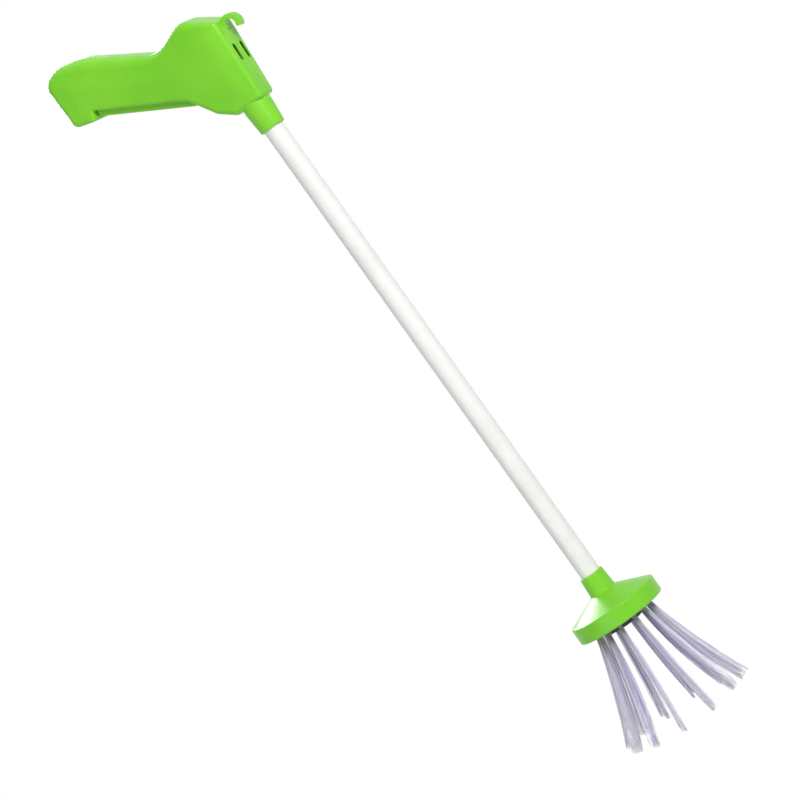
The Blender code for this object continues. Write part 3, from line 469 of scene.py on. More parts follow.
# The mouth that the trigger swings in, seen from the pin: its end, then the corners of its back,
# each with what its reach is divided by
mouthEnd = (148, 205)
mouthBack = [(238, 240, 3), (254, 256, 4)]
# The points of a half form: their spacing, the rings along the rounded edge, degrees in a step of
# a fillet. Rows lie closer than the spacing, and points in one cell count as one
grids = {"form": (0.0022, 8, 5.0), "cavity": (0.0066, 2, 18), "rowShare": 0.87,
         "ringShare": 0.96, "cellShare": 1 / 40, "leastShare": 1 / 4}
roundSteps = {"neck": 96, "bore": 72, "seat": 40, "boss": 20, "pinBoss": 24, "pinHole": 20,
              "shank": 16, "head": 28, "slotEnd": 16, "mouth": 24, "hookOuter": 40, "hookInner": 32}
neckLowR = tubeR + fits["gap"] + handle["neckWall"]
neckHighR = neckLowR + handle["neckFlare"]
frontLowX = neckHighR + handle["bodyStep"]


def handleCorners():
    h = handle
    reach = h["gripReach"]
    lowFillet, lowEdge, highFillet, highEdge = (share * reach for share in frontShares)
    frontTop = (frontLowX + h["frontLean"], h["bodyFloor"] + h["frontHeight"])
    corners = [(frontLowX, h["bodyFloor"], lowFillet, lowEdge), (*frontTop, highFillet, highEdge)]
    corners += [(x * reach, z * h["height"], fillet * reach, edge * reach)
                for x, z, fillet, edge in outlineShares]
    for angle, share, fillet, edge in prongShares:
        turn = math.radians(angle)
        corners.append((h["pivotX"] + share * h["mouthReach"] * math.cos(turn),
                        h["pivotLevel"] + share * h["mouthReach"] * math.sin(turn),
                        fillet * reach, edge * reach))
    corners += [(x * reach, z * h["height"], fillet * reach, edge * reach)
                for x, z, fillet, edge in lowShares]
    corners.append((-frontLowX, h["bodyFloor"], footShares[0] * reach, footShares[1] * reach))
    return corners


def drawnIn(corners, inset):
    # The outline's corners moved in by the wall, for the cavity
    moved = []
    for index, (x, z, fillet, edge) in enumerate(corners):
        here = Vector((x, z))
        before = (here - Vector(corners[index - 1][:2])).normalized()
        after = (Vector(corners[(index + 1) % len(corners)][:2]) - here).normalized()
        inward = Vector((-before.y, before.x)) + Vector((-after.y, after.x))
        place = here + inward * (2 * inset / inward.length_squared)
        turn = before.x * after.y - before.y * after.x
        least = grids["leastShare"]
        fillet = fillet + inset if turn < 0 else max(fillet - inset, fillet * least)
        moved.append((place.x, place.y, fillet, max(edge - inset, edge * least)))
    return moved


def ease(share):
    share = np.clip(share, 0.0, 1.0)
    return share * share * (3 - 2 * share)


def sideHalf(x, z):
    # Half width of the handle at places of its side outline
    h = handle
    rise = np.clip((z - h["bodyFloor"]) / h["frontHeight"], 0, 1)
    front = between(h["frontLowHalf"], h["frontHighHalf"], rise)
    side = between(h["bodyLowHalf"], h["bodyHighHalf"], ease(rise))
    side = between(side, h["gripHalf"], ease(-x / (h["gripReach"] / 2)))
    faceX = frontLowX + h["frontLean"] * rise
    flare = np.clip((faceX - x) / h["flareDepth"], 0, 1)
    return between(front, side, np.sin(flare * np.pi / 2))


def filled(outline, longest):
    # The outline with more points along its long stretches
    full = []
    for index, point in enumerate(outline):
        onward = outline[(index + 1) % len(outline)]
        parts = max(1, round(math.dist(point[:2], onward[:2]) / longest))
        for part in range(parts):
            full.append([a + (b - a) * part / parts for a, b in zip(point, onward)])
    return np.array(full)


def nearestEdge(spots, outline):
    # Distance of each spot to the outline, and the edge rounding there
    start = outline[:, :2]
    run = np.roll(start, -1, axis=0) - start
    edges = outline[:, 2]
    away = spots[:, None, :] - start[None, :, :]
    share = np.clip((away * run).sum(2) / (run * run).sum(1), 0, 1)
    gaps = np.linalg.norm(away - share[:, :, None] * run, axis=2)
    best = gaps.argmin(1)
    rows = np.arange(len(spots))
    part = share[rows, best]
    return gaps[rows, best], edges[best] * (1 - part) + np.roll(edges, -1)[best] * part


def inside(spots, outline):
    # A line from the spot crosses the outline an odd number of times
    start = outline[:, :2]
    after = np.roll(start, -1, axis=0)
    x, z = spots[:, :1], spots[:, 1:]
    spans = (start[:, 1] > z) != (after[:, 1] > z)
    rise = np.where(after[:, 1] == start[:, 1], 1, after[:, 1] - start[:, 1])
    crossing = x < (after[:, 0] - start[:, 0]) * (z - start[:, 1]) / rise + start[:, 0]
    return (spans & crossing).sum(1) % 2 == 1


def halfForm(inset, spacing, bendSteps, arcStep):
    # One half of the handle's form: rings that follow the rounded edge, then an even field of
    # points, lifted to their heights and triangulated
    corners = handleCorners()
    if inset:
        corners = drawnIn(corners, inset)
    outline = filled(rounded(corners, arcStep), spacing)
    count = len(outline)
    along = np.roll(outline[:, :2], -1, axis=0) - np.roll(outline[:, :2], 1, axis=0)
    along /= np.linalg.norm(along, axis=1)[:, None]
    inward = np.stack([-along[:, 1], along[:, 0]], axis=1)
    field = []
    depths = []
    for step in range(1, bendSteps + 1):
        depth = outline[:, 2] * (1 - math.cos(math.pi / 2 * step / bendSteps))
        field.append(outline[:, :2] + inward * depth[:, None])
        depths.append(depth)
    low, high = outline[:, :2].min(0), outline[:, :2].max(0)
    across = np.arange(low[0], high[0], spacing)
    rows = np.arange(low[1], high[1], spacing * grids["rowShare"])
    even = [(x + spacing / 2 * (row % 2), z) for row, z in enumerate(rows) for x in across]
    field.append(np.array(even))
    depths.append(np.full(len(even), np.inf))
    spots = np.concatenate(field)
    depths = np.concatenate(depths)
    within = inside(spots, outline)
    spots, depths = spots[within], depths[within]
    gaps, edges = nearestEdge(spots, outline)
    # A ring's point stays where no other stretch of the outline is nearer, an even one inside
    # the rounded edge
    keep = gaps > np.where(np.isinf(depths), edges, depths * grids["ringShare"])
    spots, gaps, edges = spots[keep], gaps[keep], edges[keep]
    taken = set()
    chosen = []
    cellSize = spacing * grids["cellShare"]
    for index, (x, z) in enumerate(spots):
        cell = (round(x / cellSize), round(z / cellSize))
        if cell not in taken:
            taken.add(cell)
            chosen.append(index)
    spots, gaps, edges = spots[chosen], gaps[chosen], edges[chosen]
    bend = 1 - np.clip(gaps / edges, 0, 1)
    heights = sideHalf(*spots.T) - inset - edges * (1 - np.sqrt(1 - bend * bend))
    heights = heights + handle["crown"] * ease((gaps - edges) / handle["crownDepth"])
    rim = sideHalf(*outline[:, :2].T) - inset - outline[:, 2]
    flat = [Vector(spot) for spot in (*outline[:, :2], *spots)]
    lifted = [*rim, *heights]
    border = [(index, (index + 1) % count) for index in range(count)]
    spread, _, triangles, origins, *_ = delaunay_2d_cdt(flat, border, [], 1, fits["weld"] / 20)
    points = [(spot.x, lifted[sources[0]], spot.y) for spot, sources in zip(spread, origins)]
    faces = [list(face) for face in triangles]
    top = {sources[0]: index for index, sources in enumerate(origins)}
    base = len(points)
    points += [(x, -fits["overrun"], z) for x, z in outline[:, :2]]
    faces.append([base + index for index in range(count)])
    faces += [[base + a, base + b, top[b], top[a]] for a, b in border]
    return meshOf(points, faces)


def hookOutline(grow):
    # The strap's side view: round the crook outside, back inside, and down to its foot
    h = handle
    centre = (h["hookForward"], h["hookLevel"])
    outerR = h["hookInnerR"] + h["hookStrap"] + grow
    start = 180 + math.degrees(grow / h["hookInnerR"])
    foot = (h["hookForward"] - outerR, h["hookLevel"] - h["hookFoot"] - 3 * grow)
    tip = h["hookTip"]
    innerTip = tip - h["hookTipSlant"]
    outer = arc(centre, outerR, start, tip, roundSteps["hookOuter"])
    inner = arc(centre, h["hookInnerR"] - grow, innerTip, start, roundSteps["hookInner"])
    return outer + inner + [foot]


def hookStrap():
    # The strap with every edge rounded that turns by more than the angle
    h = handle
    half = h["hookWidth"] / 2
    work = bmesh.new()
    work.from_mesh(extruded(hookOutline(0), -half, half))
    angle = math.radians(h["hookRoundAngle"])
    sharp = [edge for edge in work.edges if edge.is_manifold and edge.calc_face_angle(0) > angle]
    bmesh.ops.bevel(work, geom=sharp, offset=h["hookRound"], segments=h["hookRoundSteps"],
                    affect="EDGES", profile=0.5, clamp_overlap=True)
    bmesh.ops.recalc_face_normals(work, faces=work.faces)
    strap = bpy.data.meshes.new("strap")
    work.to_mesh(strap)
    work.free()
    return strap


def seatAndBore():
    # The block that holds the tube and the rod's guide in the cavity, and the bore through it
    h = handle
    run = fits["overrun"]
    gap = fits["gap"]
    boreR = tubeR + gap
    top = fits["tubeInNeck"] + h["guideFlange"] + 3 * gap + h["ribThickness"]
    step = top - h["ribThickness"]
    seatR = h["bodyLowHalf"] - h["wall"] / 2 - h["crown"]
    seat = rod(seatR, h["bodyFloor"] - h["wall"] / 3, top, roundSteps["seat"])
    profile = [(0, -run), (boreR + gap, -run), (boreR + gap, 0), (boreR, gap), (boreR, step),
               (h["seatBoreR"], step), (h["seatBoreR"], top + run), (0, top + run)]
    return seat, spun(profile, roundSteps["bore"])


def slotCutters():
    # One dark slot, and the pocket behind it that leaves only a skin of the wall
    h = handle
    slotR = h["slotWidth"] / 2
    half = h["slotHeight"] / 2 - slotR
    y = h["slotSpacing"] / 2
    outline = (arc((y, h["slotLevel"] + half), slotR, 0, 180, roundSteps["slotEnd"])
               + arc((y, h["slotLevel"] - half), slotR, 180, 360, roundSteps["slotEnd"]))
    slope = h["frontLean"] / h["frontHeight"]
    skin = frontLowX + slope * (h["slotLevel"] - h["bodyFloor"]) - h["slotSkin"]
    lean = slope * h["slotHeight"]
    low = h["slotLevel"] - h["slotHeight"]
    high = h["slotLevel"] + h["slotHeight"]
    back = skin - h["wall"] * 2
    pocket = [(back, low), (skin - lean, low), (skin + lean, high), (back, high)]
    run = fits["overrun"]
    return [extruded(pocket, -run, y + h["slotWidth"]),
            extruded(outline, frontLowX - 2 * h["wall"], frontLowX + h["frontLean"] + run, "X")]


def makeShells():
    h = handle
    run = fits["overrun"]
    gap = fits["gap"]
    neckTop = h["bodyFloor"] + h["neckRise"]
    neck = spun([(0, 0), (neckLowR - gap * 2, 0), (neckLowR, gap * 2), (neckHighR, h["neckLength"]),
                 (neckHighR, neckTop), (0, neckTop)], roundSteps["neck"])
    seat, bore = seatAndBore()
    whole = boolean(halfForm(0.0, *grids["form"]), neck, "UNION")
    whole = boolean(whole, halfForm(h["wall"], *grids["cavity"]), "DIFFERENCE")
    whole = boolean(whole, seat, "UNION")
    print("handle form made:", len(whole.polygons), "faces")

    places = [(x * h["gripReach"], z * h["height"]) for x, z in screwShares]
    reaches = [float(sideHalf(x, z)) for x, z in places]
    spots = [Matrix.Translation((x, 0, z)) for x, z in places]
    bossR = h["screwHeadR"] + gap + h["bossWall"]
    bosses = [shifted(rod(bossR, -run, reach - h["wall"] / 2, roundSteps["boss"], "Y"), spot)
              for reach, spot in zip(reaches, spots)]
    pin = Matrix.Translation((h["pivotX"], 0, h["pivotLevel"]))
    innerFace = h["triggerWidth"] / 2 + 2 * gap
    pinReach = float(sideHalf(h["pivotX"], h["pivotLevel"])) - h["wall"] / 2
    pinBossR = h["pinR"] + gap + 2 * h["bossWall"]
    bosses.append(shifted(rod(pinBossR, innerFace, pinReach, roundSteps["pinBoss"], "Y"), pin))
    whole = boolean(whole, joinMeshes(bosses), "UNION")

    centre = (h["pivotX"], h["pivotLevel"])
    mouth = [centre] + arc(centre, h["mouthReach"] - gap, *mouthEnd, roundSteps["mouth"])
    for start, end, parts in mouthBack:
        mouth += arc(centre, h["mouthReach"] / parts, start, end, 1)
    pinHole = rod(h["pinR"] + gap, innerFace - run, h["pinHalf"] + gap, roundSteps["pinHole"], "Y")
    for cutter in [bore, extruded(mouth, -run, innerFace), shifted(pinHole, pin), *slotCutters()]:
        whole = boolean(whole, cutter, "DIFFERENCE")

    far = 2 * h["gripReach"]
    square = [(-far, -far), (far, -far), (far, far), (-far, far)]
    parting = extruded(square, -far, h["partingGap"] / 2)
    notch = extruded(hookOutline(gap), -run, h["hookWidth"] / 2 + gap)
    # The heads sink into the left shell. The shanks bite in the right one, which has the hook
    for side in ("left", "right"):
        left = side == "left"
        shell = whole
        for reach, spot in zip(reaches, spots):
            bite = reach - h["wall"] / 2 if left else h["screwBite"]
            shank = rod(h["screwShankR"] + gap, -2 * run, bite, roundSteps["shank"], "Y")
            shell = boolean(shell, shifted(shank, spot), "DIFFERENCE")
            if left:
                headR = h["screwHeadR"] + gap
                sunk = rod(headR, h["screwSeat"], reach + h["wall"], roundSteps["head"], "Y")
                shell = boolean(shell, shifted(sunk, spot), "DIFFERENCE")
        shell = boolean(shell, parting, "DIFFERENCE")
        if left:
            shell = boolean(shell, notch, "DIFFERENCE")
        else:
            shell.transform(Matrix.Scale(-1, 4, (0, 1, 0)))
            shell.flip_normals()
            shell = boolean(shell, hookStrap(), "UNION")
        shell.transform(atNeck)
        addPiece(side + "Shell", shell, "green_plastic", "housing", side + "_shell", h["sharp"])


makeShells()
print("shells made")


# The tube, with a soft lip at each end
tube = {"wall": 0.0012, "steps": 96, "lip": 0.0003, "rings": 12}


def makeTube():
    inner = tubeR - tube["wall"]
    lip = tube["lip"]
    low, high = tubeLow.z - rimZ, tubeHigh.z - rimZ
    run = high - low - 2 * lip
    profile = [(inner, low), (tubeR - lip, low)]
    for ring in range(tube["rings"] + 1):
        profile.append((tubeR, low + lip + run * ring / tube["rings"]))
    profile += [(tubeR - lip, high), (inner, high)]
    mesh = spun(profile, tube["steps"])
    mesh.transform(atRim)
    addPiece("whiteTube", mesh, "white_tube", "housing", "tube")


makeTube()
print("tube made")


# The head: rim, cone and collar in one moulding, with ears inside for the ring's screws. A tuft
# fills one sector to each side of its middle, and the ears and cover screws stand between tufts
sector = math.pi / 12
head = {"rimHeight": 0.0128, "coneHeight": 0.0111, "wall": 0.0020, "collarLowR": 0.0104,
        "collarHighR": 0.00945, "collarHeight": 0.0156, "shoulder": 0.0020,
        "edge": 0.0012, "rimTopEdge": 0.00132, "rimInnerEdge": 0.0005, "collarEdge": 0.0006,
        "boreEdge": 0.0002, "innerEdge": 0.001, "arcStep": 9, "steps": 160,
        "ears": 3, "earRingR": 0.0295, "earBossR": 0.0026, "earTop": 0.0103, "earSteps": 24,
        "earHoleR": 0.0011, "earHoleSkin": 0.0007, "earHoleSteps": 14}


def makeHead():
    h = head
    rimR = (headHigh.x - headLow.x) / 2
    boreR = tubeR + fits["gap"]
    tubeInnerR = tubeR - tube["wall"]
    slope = h["coneHeight"] / (rimR - h["collarLowR"])
    coneTop = h["rimHeight"] + h["coneHeight"]
    collarTop = coneTop + h["collarHeight"]
    drop = h["wall"] * math.hypot(1, slope)
    floor = coneTop - h["shoulder"] + fits["gap"]
    ceiling = floor - h["shoulder"]
    inner = rimR - h["wall"]
    innerTop = coneTop - (inner - h["collarLowR"]) * slope - drop
    ceilingR = h["collarLowR"] + (coneTop - drop - ceiling) / slope
    corners = [(inner, 0, h["rimInnerEdge"]), (rimR, 0, h["edge"]),
               (rimR, h["rimHeight"], h["rimTopEdge"]), (h["collarLowR"], coneTop, h["edge"]),
               (h["collarHighR"], collarTop, h["collarEdge"]), (boreR, collarTop, h["boreEdge"]),
               (boreR, floor, 0), (tubeInnerR, floor, 0), (tubeInnerR, ceiling, 0),
               (ceilingR, ceiling, 0), (inner, innerTop, h["innerEdge"])]
    shell = spun(rounded(corners, h["arcStep"]), h["steps"])
    low = h["earTop"]
    high = coneTop - (h["earRingR"] + h["earBossR"] - h["collarLowR"]) * slope - drop / 3
    bosses = []
    holes = []
    for ear in range(h["ears"]):
        spot = aroundAxis(h["earRingR"], 2 * sector + ear * 2 * math.pi / h["ears"])
        bosses.append(shifted(rod(h["earBossR"], low, high, h["earSteps"]), spot))
        hole = rod(h["earHoleR"], low - fits["overrun"], high - h["earHoleSkin"], h["earHoleSteps"])
        holes.append(shifted(hole, spot))
    shell = boolean(shell, joinMeshes(bosses), "UNION")
    shell = boolean(shell, joinMeshes(holes), "DIFFERENCE")
    shell.transform(atRim)
    addPiece("headHousing", shell, "green_plastic", "housing", "head_housing")


makeHead()
print("head made")


# The dark cover under the hub
cover = {"r": 0.0149, "drop": 0.0055, "floor": 0.0018, "holeR": 0.0042, "wallR": 0.0121,
         "top": 0.0015, "holeEdge": 0.0004, "lowEdge": 0.0009, "topEdge": 0.0003,
         "innerEdge": 0.0006, "arcStep": 12, "steps": 96,
         "screws": 3, "screwR": 0.0011, "screwRing": 0.0134, "screwSteps": 14}


def makeCover():
    c = cover
    low = -c["drop"]
    floor = c["floor"] - c["drop"]
    corners = [(c["holeR"], low, c["holeEdge"]), (c["r"], low, c["lowEdge"]),
               (c["r"], c["top"], c["topEdge"]), (c["wallR"], c["top"], 0),
               (c["wallR"], floor, c["innerEdge"]), (c["holeR"], floor, 0)]
    plate = spun(rounded(corners, c["arcStep"]), c["steps"])
    holes = []
    for screw in range(c["screws"]):
        spot = aroundAxis(c["screwRing"], 2 * sector + (2 * screw + 1) * math.pi / c["screws"])
        holes.append(shifted(rod(c["screwR"], 2 * low, -2 * low, c["screwSteps"]), spot))
    plate = boolean(plate, joinMeshes(holes), "DIFFERENCE")
    plate.transform(atRim)
    addPiece("hubCover", plate, "black_plastic", "housing", "hub_cover")


makeCover()
print("cover made")


# The screws that show: domed heads with a cross recess. Head radius, head height, shank radius
screwSizes = {"shell": (0.0026, 0.0015, 0.0014), "cover": (0.0015, 0.0011, 0.0008),
              "ring": (0.0015, 0.0011, 0.0008), "hub": (0.0026, 0.0015, 0.0012)}
# Shares of the head's height, its radius and the shank's radius, and how far each one is turned
screwShape = {"wallShare": 0.35, "recessDepthShare": 0.60, "recessHalfShare": 0.14,
              "recessReachShare": 0.62, "tipShare": 0.30, "steps": 40, "domeSteps": 6, "turn": 50}


def makeScrew(node, number):
    s = screwShape
    kind, *words = node.split("_")
    headR, headHeight, shankR = screwSizes[kind]
    low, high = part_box(node)
    middle = (low + high) / 2
    sideways = kind == "shell"
    length = (high.y - low.y if sideways else high.z - low.z) - headHeight
    wall = headHeight * s["wallShare"]
    tip = shankR * s["tipShare"]
    profile = [(0, -length), (shankR - tip, -length), (shankR, tip - length), (shankR, 0),
               (headR, 0)]
    for step in range(s["domeSteps"]):
        turn = math.pi / 2 * step / s["domeSteps"]
        profile.append((headR * math.cos(turn), wall + (headHeight - wall) * math.sin(turn)))
    mesh = spun(profile + [(0, headHeight)], s["steps"])
    reach, half = headR * s["recessReachShare"], headR * s["recessHalfShare"]
    floor = headHeight * (1 - s["recessDepthShare"])
    bars = [extruded([(-a, -b), (a, -b), (a, b), (-a, b)], floor, headHeight + fits["overrun"], "Z")
            for a, b in ((reach, half), (half, reach))]
    cross = boolean(bars[0], bars[1], "UNION")
    cross.transform(Matrix.Rotation(math.radians(number * s["turn"]), 4, "Z"))
    mesh = boolean(mesh, cross, "DIFFERENCE")
    if sideways:
        mesh.transform(zToY)
        place = (middle.x, high.y - headHeight, middle.z)
    else:
        mesh.transform(Matrix.Rotation(math.pi, 4, "X"))
        place = (middle.x, middle.y, low.z + headHeight)
    mesh.transform(Matrix.Translation(place))
    name = kind + "".join(word.capitalize() for word in words)
    addPiece(name, mesh, "steel", "rod" if kind == "hub" else "housing", node)


shownScrews = [node for node in sorted(frame["nodes"]) if "screw" in node and node != "cap_screw"]
for number, node in enumerate(shownScrews):
    makeScrew(node, number)
print("screws made:", len(shownScrews))


# The tufts: fine filaments in the wedge that each tuft has when the ring is closed
tuft = {
    "count": 12, "pivotR": 0.0210, "pivotHeight": 0.0060, "socketTop": 0.0015,
    "socketLength": 0.0060, "plugHalf": 0.0026, "plugInnerHalf": 0.0012, "plugOuterHalf": 0.0027,
    "plugLength": 0.0042, "sunkShare": 0.25, "rootAngle": 11.0, "tipAngle": 26.5, "length": 0.0914,
    "rootDepth": 0.0042, "rootInnerHalf": 0.00042, "rootOuterHalf": 0.0018, "tipInnerR": 0.00525,
    "tipOuterR": 0.01675, "sideGap": 0.0004, "stations": 9, "spineSteps": 12}
# How the filaments stand in it. Depth runs from 0 inside to 1 outside, side from -1 to 1
filament = {
    "seed": 40, "count": 90, "sides": 4, "rootR": 0.00016, "tipR": 0.00011,
    "clumps": 7, "clumpDepth": (0.1, 0.9), "clumpSide": (-0.8, 0.8), "gather": 0.55, "loosest": 0.4,
    "wander": 0.0008, "sideWander": 0.5, "narrow": 0.10, "uneven": 0.0060, "shorter": 0.0025,
    "tuftTone": 0.16, "clumpTone": 0.4, "clumpWaves": 40, "ownTone": 0.24, "sharp": 100}


def spinePoint(distance):
    # Place and outward lean of an open tuft at a distance along it
    share = distance / tuft["length"]
    root = math.radians(tuft["rootAngle"])
    bend = math.radians(tuft["tipAngle"]) - root
    start = tuft["socketTop"] + tuft["socketLength"]
    x = start * math.sin(root)
    z = -start * math.cos(root)
    parts = tuft["spineSteps"]
    for part in range(parts):
        lean = root + bend * share * (part + 0.5) / parts
        x += distance / parts * math.sin(lean)
        z -= distance / parts * math.cos(lean)
    return Vector((x, 0, z)), root + bend * share


def drawStrand(chance, clumps, tuftTone, tuftLength):
    # Where it stands at the root, the clump that it leans to and how far, its sway and length,
    # and its tone
    f = filament
    depth = chance.random()
    side = chance.uniform(-1, 1)
    clump = min(clumps, key=lambda c: (c[0] - depth) ** 2 + (c[1] - side) ** 2 / 4)
    clumpTone = math.sin(clump[0] * f["clumpWaves"]) * f["clumpTone"]
    tone = min(1, max(0, tuftTone + clumpTone + chance.gauss(0, f["ownTone"])))
    pull = f["gather"] * chance.uniform(f["loosest"], 1)
    sway = (chance.gauss(0, f["wander"]), chance.gauss(0, f["wander"]))
    reach = tuftLength - f["uneven"] / tuft["length"] * chance.random() ** 2
    return (depth, side, clump, pull, sway, reach), tone


def strandRun(strand, slant, stations, spine):
    # Its centre, outward direction, share of the length and radius at each station
    t = tuft
    f = filament
    depth, side, clump, pull, sway, reach = strand
    middle = (t["tipInnerR"] + t["tipOuterR"]) / 2
    run = []
    for distance, (spot, lean) in zip(stations, spine):
        share = max(0, distance / t["length"]) * reach
        if distance == stations[-1]:
            spot, lean = spinePoint(t["length"] * reach)
        bunch = pull * share * share
        u = between(depth, clump[0], bunch)
        v = between(side, clump[1], bunch)
        closedR = between(t["tipInnerR"], t["tipOuterR"], u)
        rootOut = (u - 0.5) * t["rootDepth"]
        rootHalf = between(t["rootInnerHalf"], t["rootOuterHalf"], u)
        tipHalf = closedR * math.tan(sector) - t["sideGap"]
        curl = math.sin(share * math.pi)
        out = between(rootOut, closedR - middle, share) + sway[0] * curl
        spread = v * (1 - f["narrow"] * share) + slant * share
        across = between(rootHalf, tipHalf, share) * spread + sway[1] * curl * f["sideWander"]
        outward = Vector((math.cos(lean), 0, math.sin(lean)))
        centre = spot + outward * out + Vector((0, across, 0))
        run.append((centre, outward, share, between(f["rootR"], f["tipR"], share)))
    return run


def makePlug():
    # The tuft's backing in its carrier
    t = tuft
    low = -t["socketTop"] - t["socketLength"]
    inner, outer, half = t["plugInnerHalf"], t["plugOuterHalf"], t["plugHalf"]
    wedge = [(-half, -inner), (half, -outer), (half, outer), (-half, inner)]
    plug = extruded(wedge, low, low + t["plugLength"], "Z")
    plug.transform(Matrix.Rotation(-math.radians(t["rootAngle"]), 4, "Y"))
    return plug


def makeTuft(index):
    t = tuft
    f = filament
    chance = random.Random(f["seed"] + index)
    sunk = -t["plugLength"] * t["sunkShare"]
    last = t["stations"] - 1
    stations = [sunk + (t["length"] - sunk) * step / last for step in range(t["stations"])]
    spine = [spinePoint(distance) for distance in stations]
    clumps = [(chance.uniform(*f["clumpDepth"]), chance.uniform(*f["clumpSide"]))
              for _ in range(f["clumps"])]
    slant = chance.uniform(-f["narrow"], f["narrow"])
    tuftTone = 0.5 + chance.uniform(-f["tuftTone"], f["tuftTone"])
    tuftLength = 1 - chance.random() * f["shorter"] / t["length"]
    sides = f["sides"]
    points = []
    faces = []
    along = []
    tones = []
    for _ in range(f["count"]):
        strand, tone = drawStrand(chance, clumps, tuftTone, tuftLength)
        base = len(points)
        for centre, outward, share, radius in strandRun(strand, slant, stations, spine):
            for corner in range(sides):
                angle = 2 * math.pi * corner / sides
                points.append(centre + outward * (radius * math.cos(angle))
                              + Vector((0, radius * math.sin(angle), 0)))
            along += [share] * sides
            tones += [tone] * sides
        top = base + sides * last
        for low in range(base, top, sides):
            for corner in range(sides):
                here = low + corner
                onward = low + (corner + 1) % sides
                faces.append([here, onward, onward + sides, here + sides])
        faces.append([base + corner for corner in reversed(range(sides))])
        faces.append([top + corner for corner in range(sides)])
    plug = makePlug()
    base = len(points)
    points += [vertex.co for vertex in plug.vertices]
    faces += [[base + corner for corner in face.vertices] for face in plug.polygons]
    along += [0.0] * len(plug.vertices)
    tones += [0.5] * len(plug.vertices)
    mesh = bpy.data.meshes.new("filaments")
    mesh.from_pydata(points, [], faces)
    for name, values in (("along", along), ("tone", tones)):
        layer = mesh.attributes.new(name, "FLOAT", "POINT")
        layer.data.foreach_set("value", values)
    pivot = Matrix.Translation((t["pivotR"], 0, t["pivotHeight"]))
    mesh.transform(atRim @ Matrix.Rotation((2 * index + 1) * sector, 4, "Z") @ pivot)
    label = f"{index + 1:02d}"
    body = "bristle_arm_" + label
    addPiece("bristles" + label, mesh, "lilac_bristle", body, "tuft_" + label, f["sharp"])


for number in range(tuft["count"]):
    makeTuft(number)
print("tufts made")


# Every other CAD node keeps its shape, with softened edges and its finish
nodeEdges = {"trigger": 0.0006, "pivot_ring": 0.0003, "hub": 0.0003, "rod_cap": 0.0003,
             "lower_rod_guide": 0.0002, "upper_rod_guide": 0.0002, "carrier": 0.00025}
edgeShape = {"weld": 0.000005, "segments": 3, "angle": 34}


def dressNodes():
    slots = {entry["node"]: entry["material_slot"] for entry in frame["record"]["subparts"]}
    for name, node in frame["nodes"].items():
        if node.hide_render:
            continue
        node.data.materials.clear()
        node.data.materials.append(finishes[slots[name]])
        width = nodeEdges.get("carrier" if name.startswith("carrier") else name)
        if not width:
            continue
        weld = node.modifiers.new("weld", "WELD")
        weld.merge_threshold = edgeShape["weld"]
        bevel = node.modifiers.new("soften", "BEVEL")
        bevel.width = width
        bevel.segments = edgeShape["segments"]
        bevel.limit_method = "ANGLE"
        bevel.angle_limit = math.radians(edgeShape["angle"])
        bevel.harden_normals = True


dressNodes()
print("other nodes dressed")


# The camera stands at the photograph's viewing angle, rolled so that the catcher slants
shot = {"azimuth": 27.6, "elevation": 1.5, "roll": 35.463, "distance": 2.2, "frame": 0.5862,
        "sensor": 36.0, "aimRight": -0.04021, "aimUp": -0.21613, "near": 0.05, "far": 30}


def makeCamera():
    turn = math.radians(shot["azimuth"])
    rise = math.radians(shot["elevation"])
    roll = math.radians(shot["roll"])
    flat = math.cos(rise)
    toward = Vector((math.sin(turn) * flat, -math.cos(turn) * flat, math.sin(rise)))
    right = Vector((math.cos(turn), math.sin(turn), 0))
    up = toward.cross(right)
    aim = Vector((axisX, 0, neckZ + shot["aimUp"])) + right * shot["aimRight"]
    rolledRight = right * math.cos(roll) - up * math.sin(roll)
    rolledUp = right * math.sin(roll) + up * math.cos(roll)
    data = bpy.data.cameras.new("camera")
    data.sensor_width = shot["sensor"]
    data.lens = shot["sensor"] * shot["distance"] / shot["frame"]
    data.clip_start = shot["near"]
    data.clip_end = shot["far"]
    camera = bpy.data.objects.new("camera", data)
    facing = Matrix((rolledRight, rolledUp, toward)).transposed().to_4x4()
    camera.matrix_world = Matrix.Translation(aim + toward * shot["distance"]) @ facing
    bpy.context.scene.collection.objects.link(camera)
    bpy.context.scene.camera = camera


# The floor shows pale to the camera, and in gloss, without lighting the object more
studio = {"world": 0.38, "floorDrop": 0.26, "floorReach": 6.0, "floorTone": (0.80, 0.80, 0.80),
          "speckTone": (0.788, 0.788, 0.788), "speck": (60, 4, 0.55), "floorLift": 0.70}
lamps = [  # name, place from the tube's middle, size, power, seen by diffuse surfaces
    ("key", (1.15, -0.85, 0.75), 0.7, 17.5, True),
    ("fill", (-0.25, -1.30, -0.55), 1.0, 6.0, True),
    ("top", (-0.35, 0.15, 1.25), 0.9, 2.5, True),
    ("rim", (-0.80, 0.85, 0.65), 0.6, 16.0, False)]


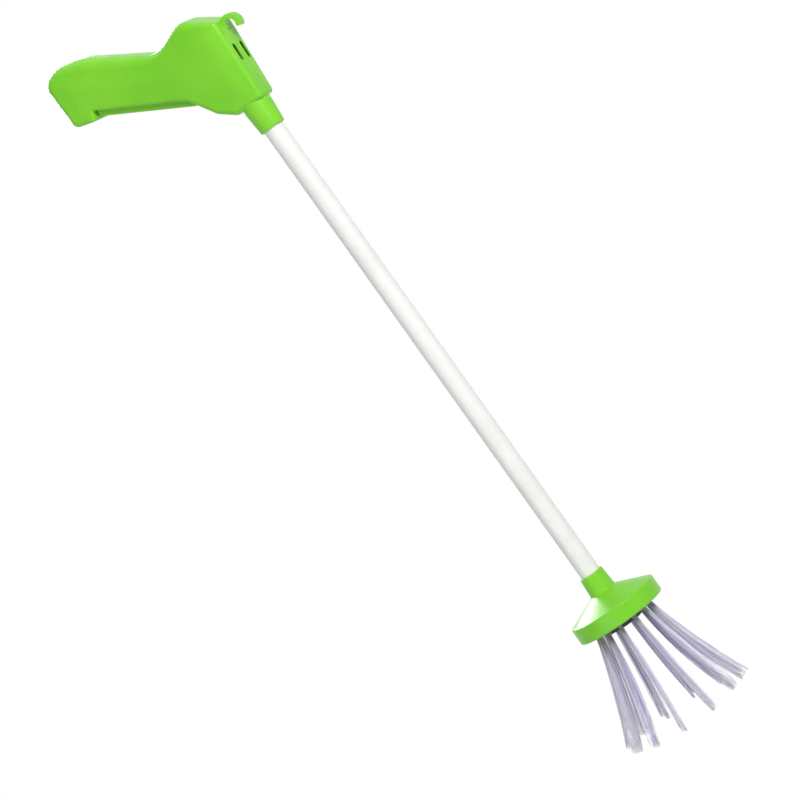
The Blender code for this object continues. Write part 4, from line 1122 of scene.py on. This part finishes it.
def seenDirectly(finish):
    # 1 for rays from the camera and for those off gloss or through glass, 0 for soft light
    rays = ("Is Camera Ray", "Is Glossy Ray", "Is Transmission Ray")
    camera, glossy, passing = (finish.node("LightPath", out=ray) for ray in rays)
    return camera + glossy + passing


def makeFloor():
    level = cadBox[0].z - studio["floorDrop"]
    reach = studio["floorReach"]
    corners = [(-reach, -reach, level), (reach, -reach, level), (reach, reach, level),
               (-reach, reach, level)]
    floor = bpy.data.objects.new("floor", meshOf(corners, [[0, 1, 2, 3]]))
    bpy.context.scene.collection.objects.link(floor)
    paper = Finish("palePaper")
    speck = paper.noise(paper.place(), *studio["speck"])
    tone = paper.tones(speck, [(0.3, studio["speckTone"]), (0.7, studio["floorTone"])])
    matt = paper.node("BsdfDiffuse", {}, {"Color": tone})
    lift = paper.node("Emission", {}, {"Strength": seenDirectly(paper) * studio["floorLift"]})
    above = paper.node("AddShader", {}, {0: matt, 1: lift})
    below = paper.node("NewGeometry", out="Backfacing")
    clear = paper.node("BsdfTransparent")
    both = paper.node("MixShader", {}, {0: below, 1: above, 2: clear})
    paper.node("OutputMaterial", {}, {"Surface": both})
    floor.data.materials.append(paper.owner)


def makeStudio():
    scene = bpy.context.scene
    makeFloor()
    air = Finish("studio", "worlds")
    level = studio["world"] + seenDirectly(air) * (1 - studio["world"])
    glow = air.node("Background", {}, {"Color": (*white, 1), "Strength": level})
    air.node("OutputWorld", {}, {"Surface": glow})
    scene.world = air.owner
    middle = Vector((axisX, 0, (neckZ + rimZ) / 2))
    for name, offset, size, power, diffuse in lamps:
        data = bpy.data.lights.new(name, "AREA")
        data.size = size
        data.energy = power
        lamp = bpy.data.objects.new(name, data)
        lamp.location = middle + Vector(offset)
        lamp.rotation_mode = "QUATERNION"
        lamp.rotation_quaternion = Vector(offset).to_track_quat("Z", "Y")
        lamp.visible_diffuse = diffuse
        scene.collection.objects.link(lamp)
    scene.view_settings.view_transform = "Standard"


makeCamera()
makeStudio()
print("camera and studio made")
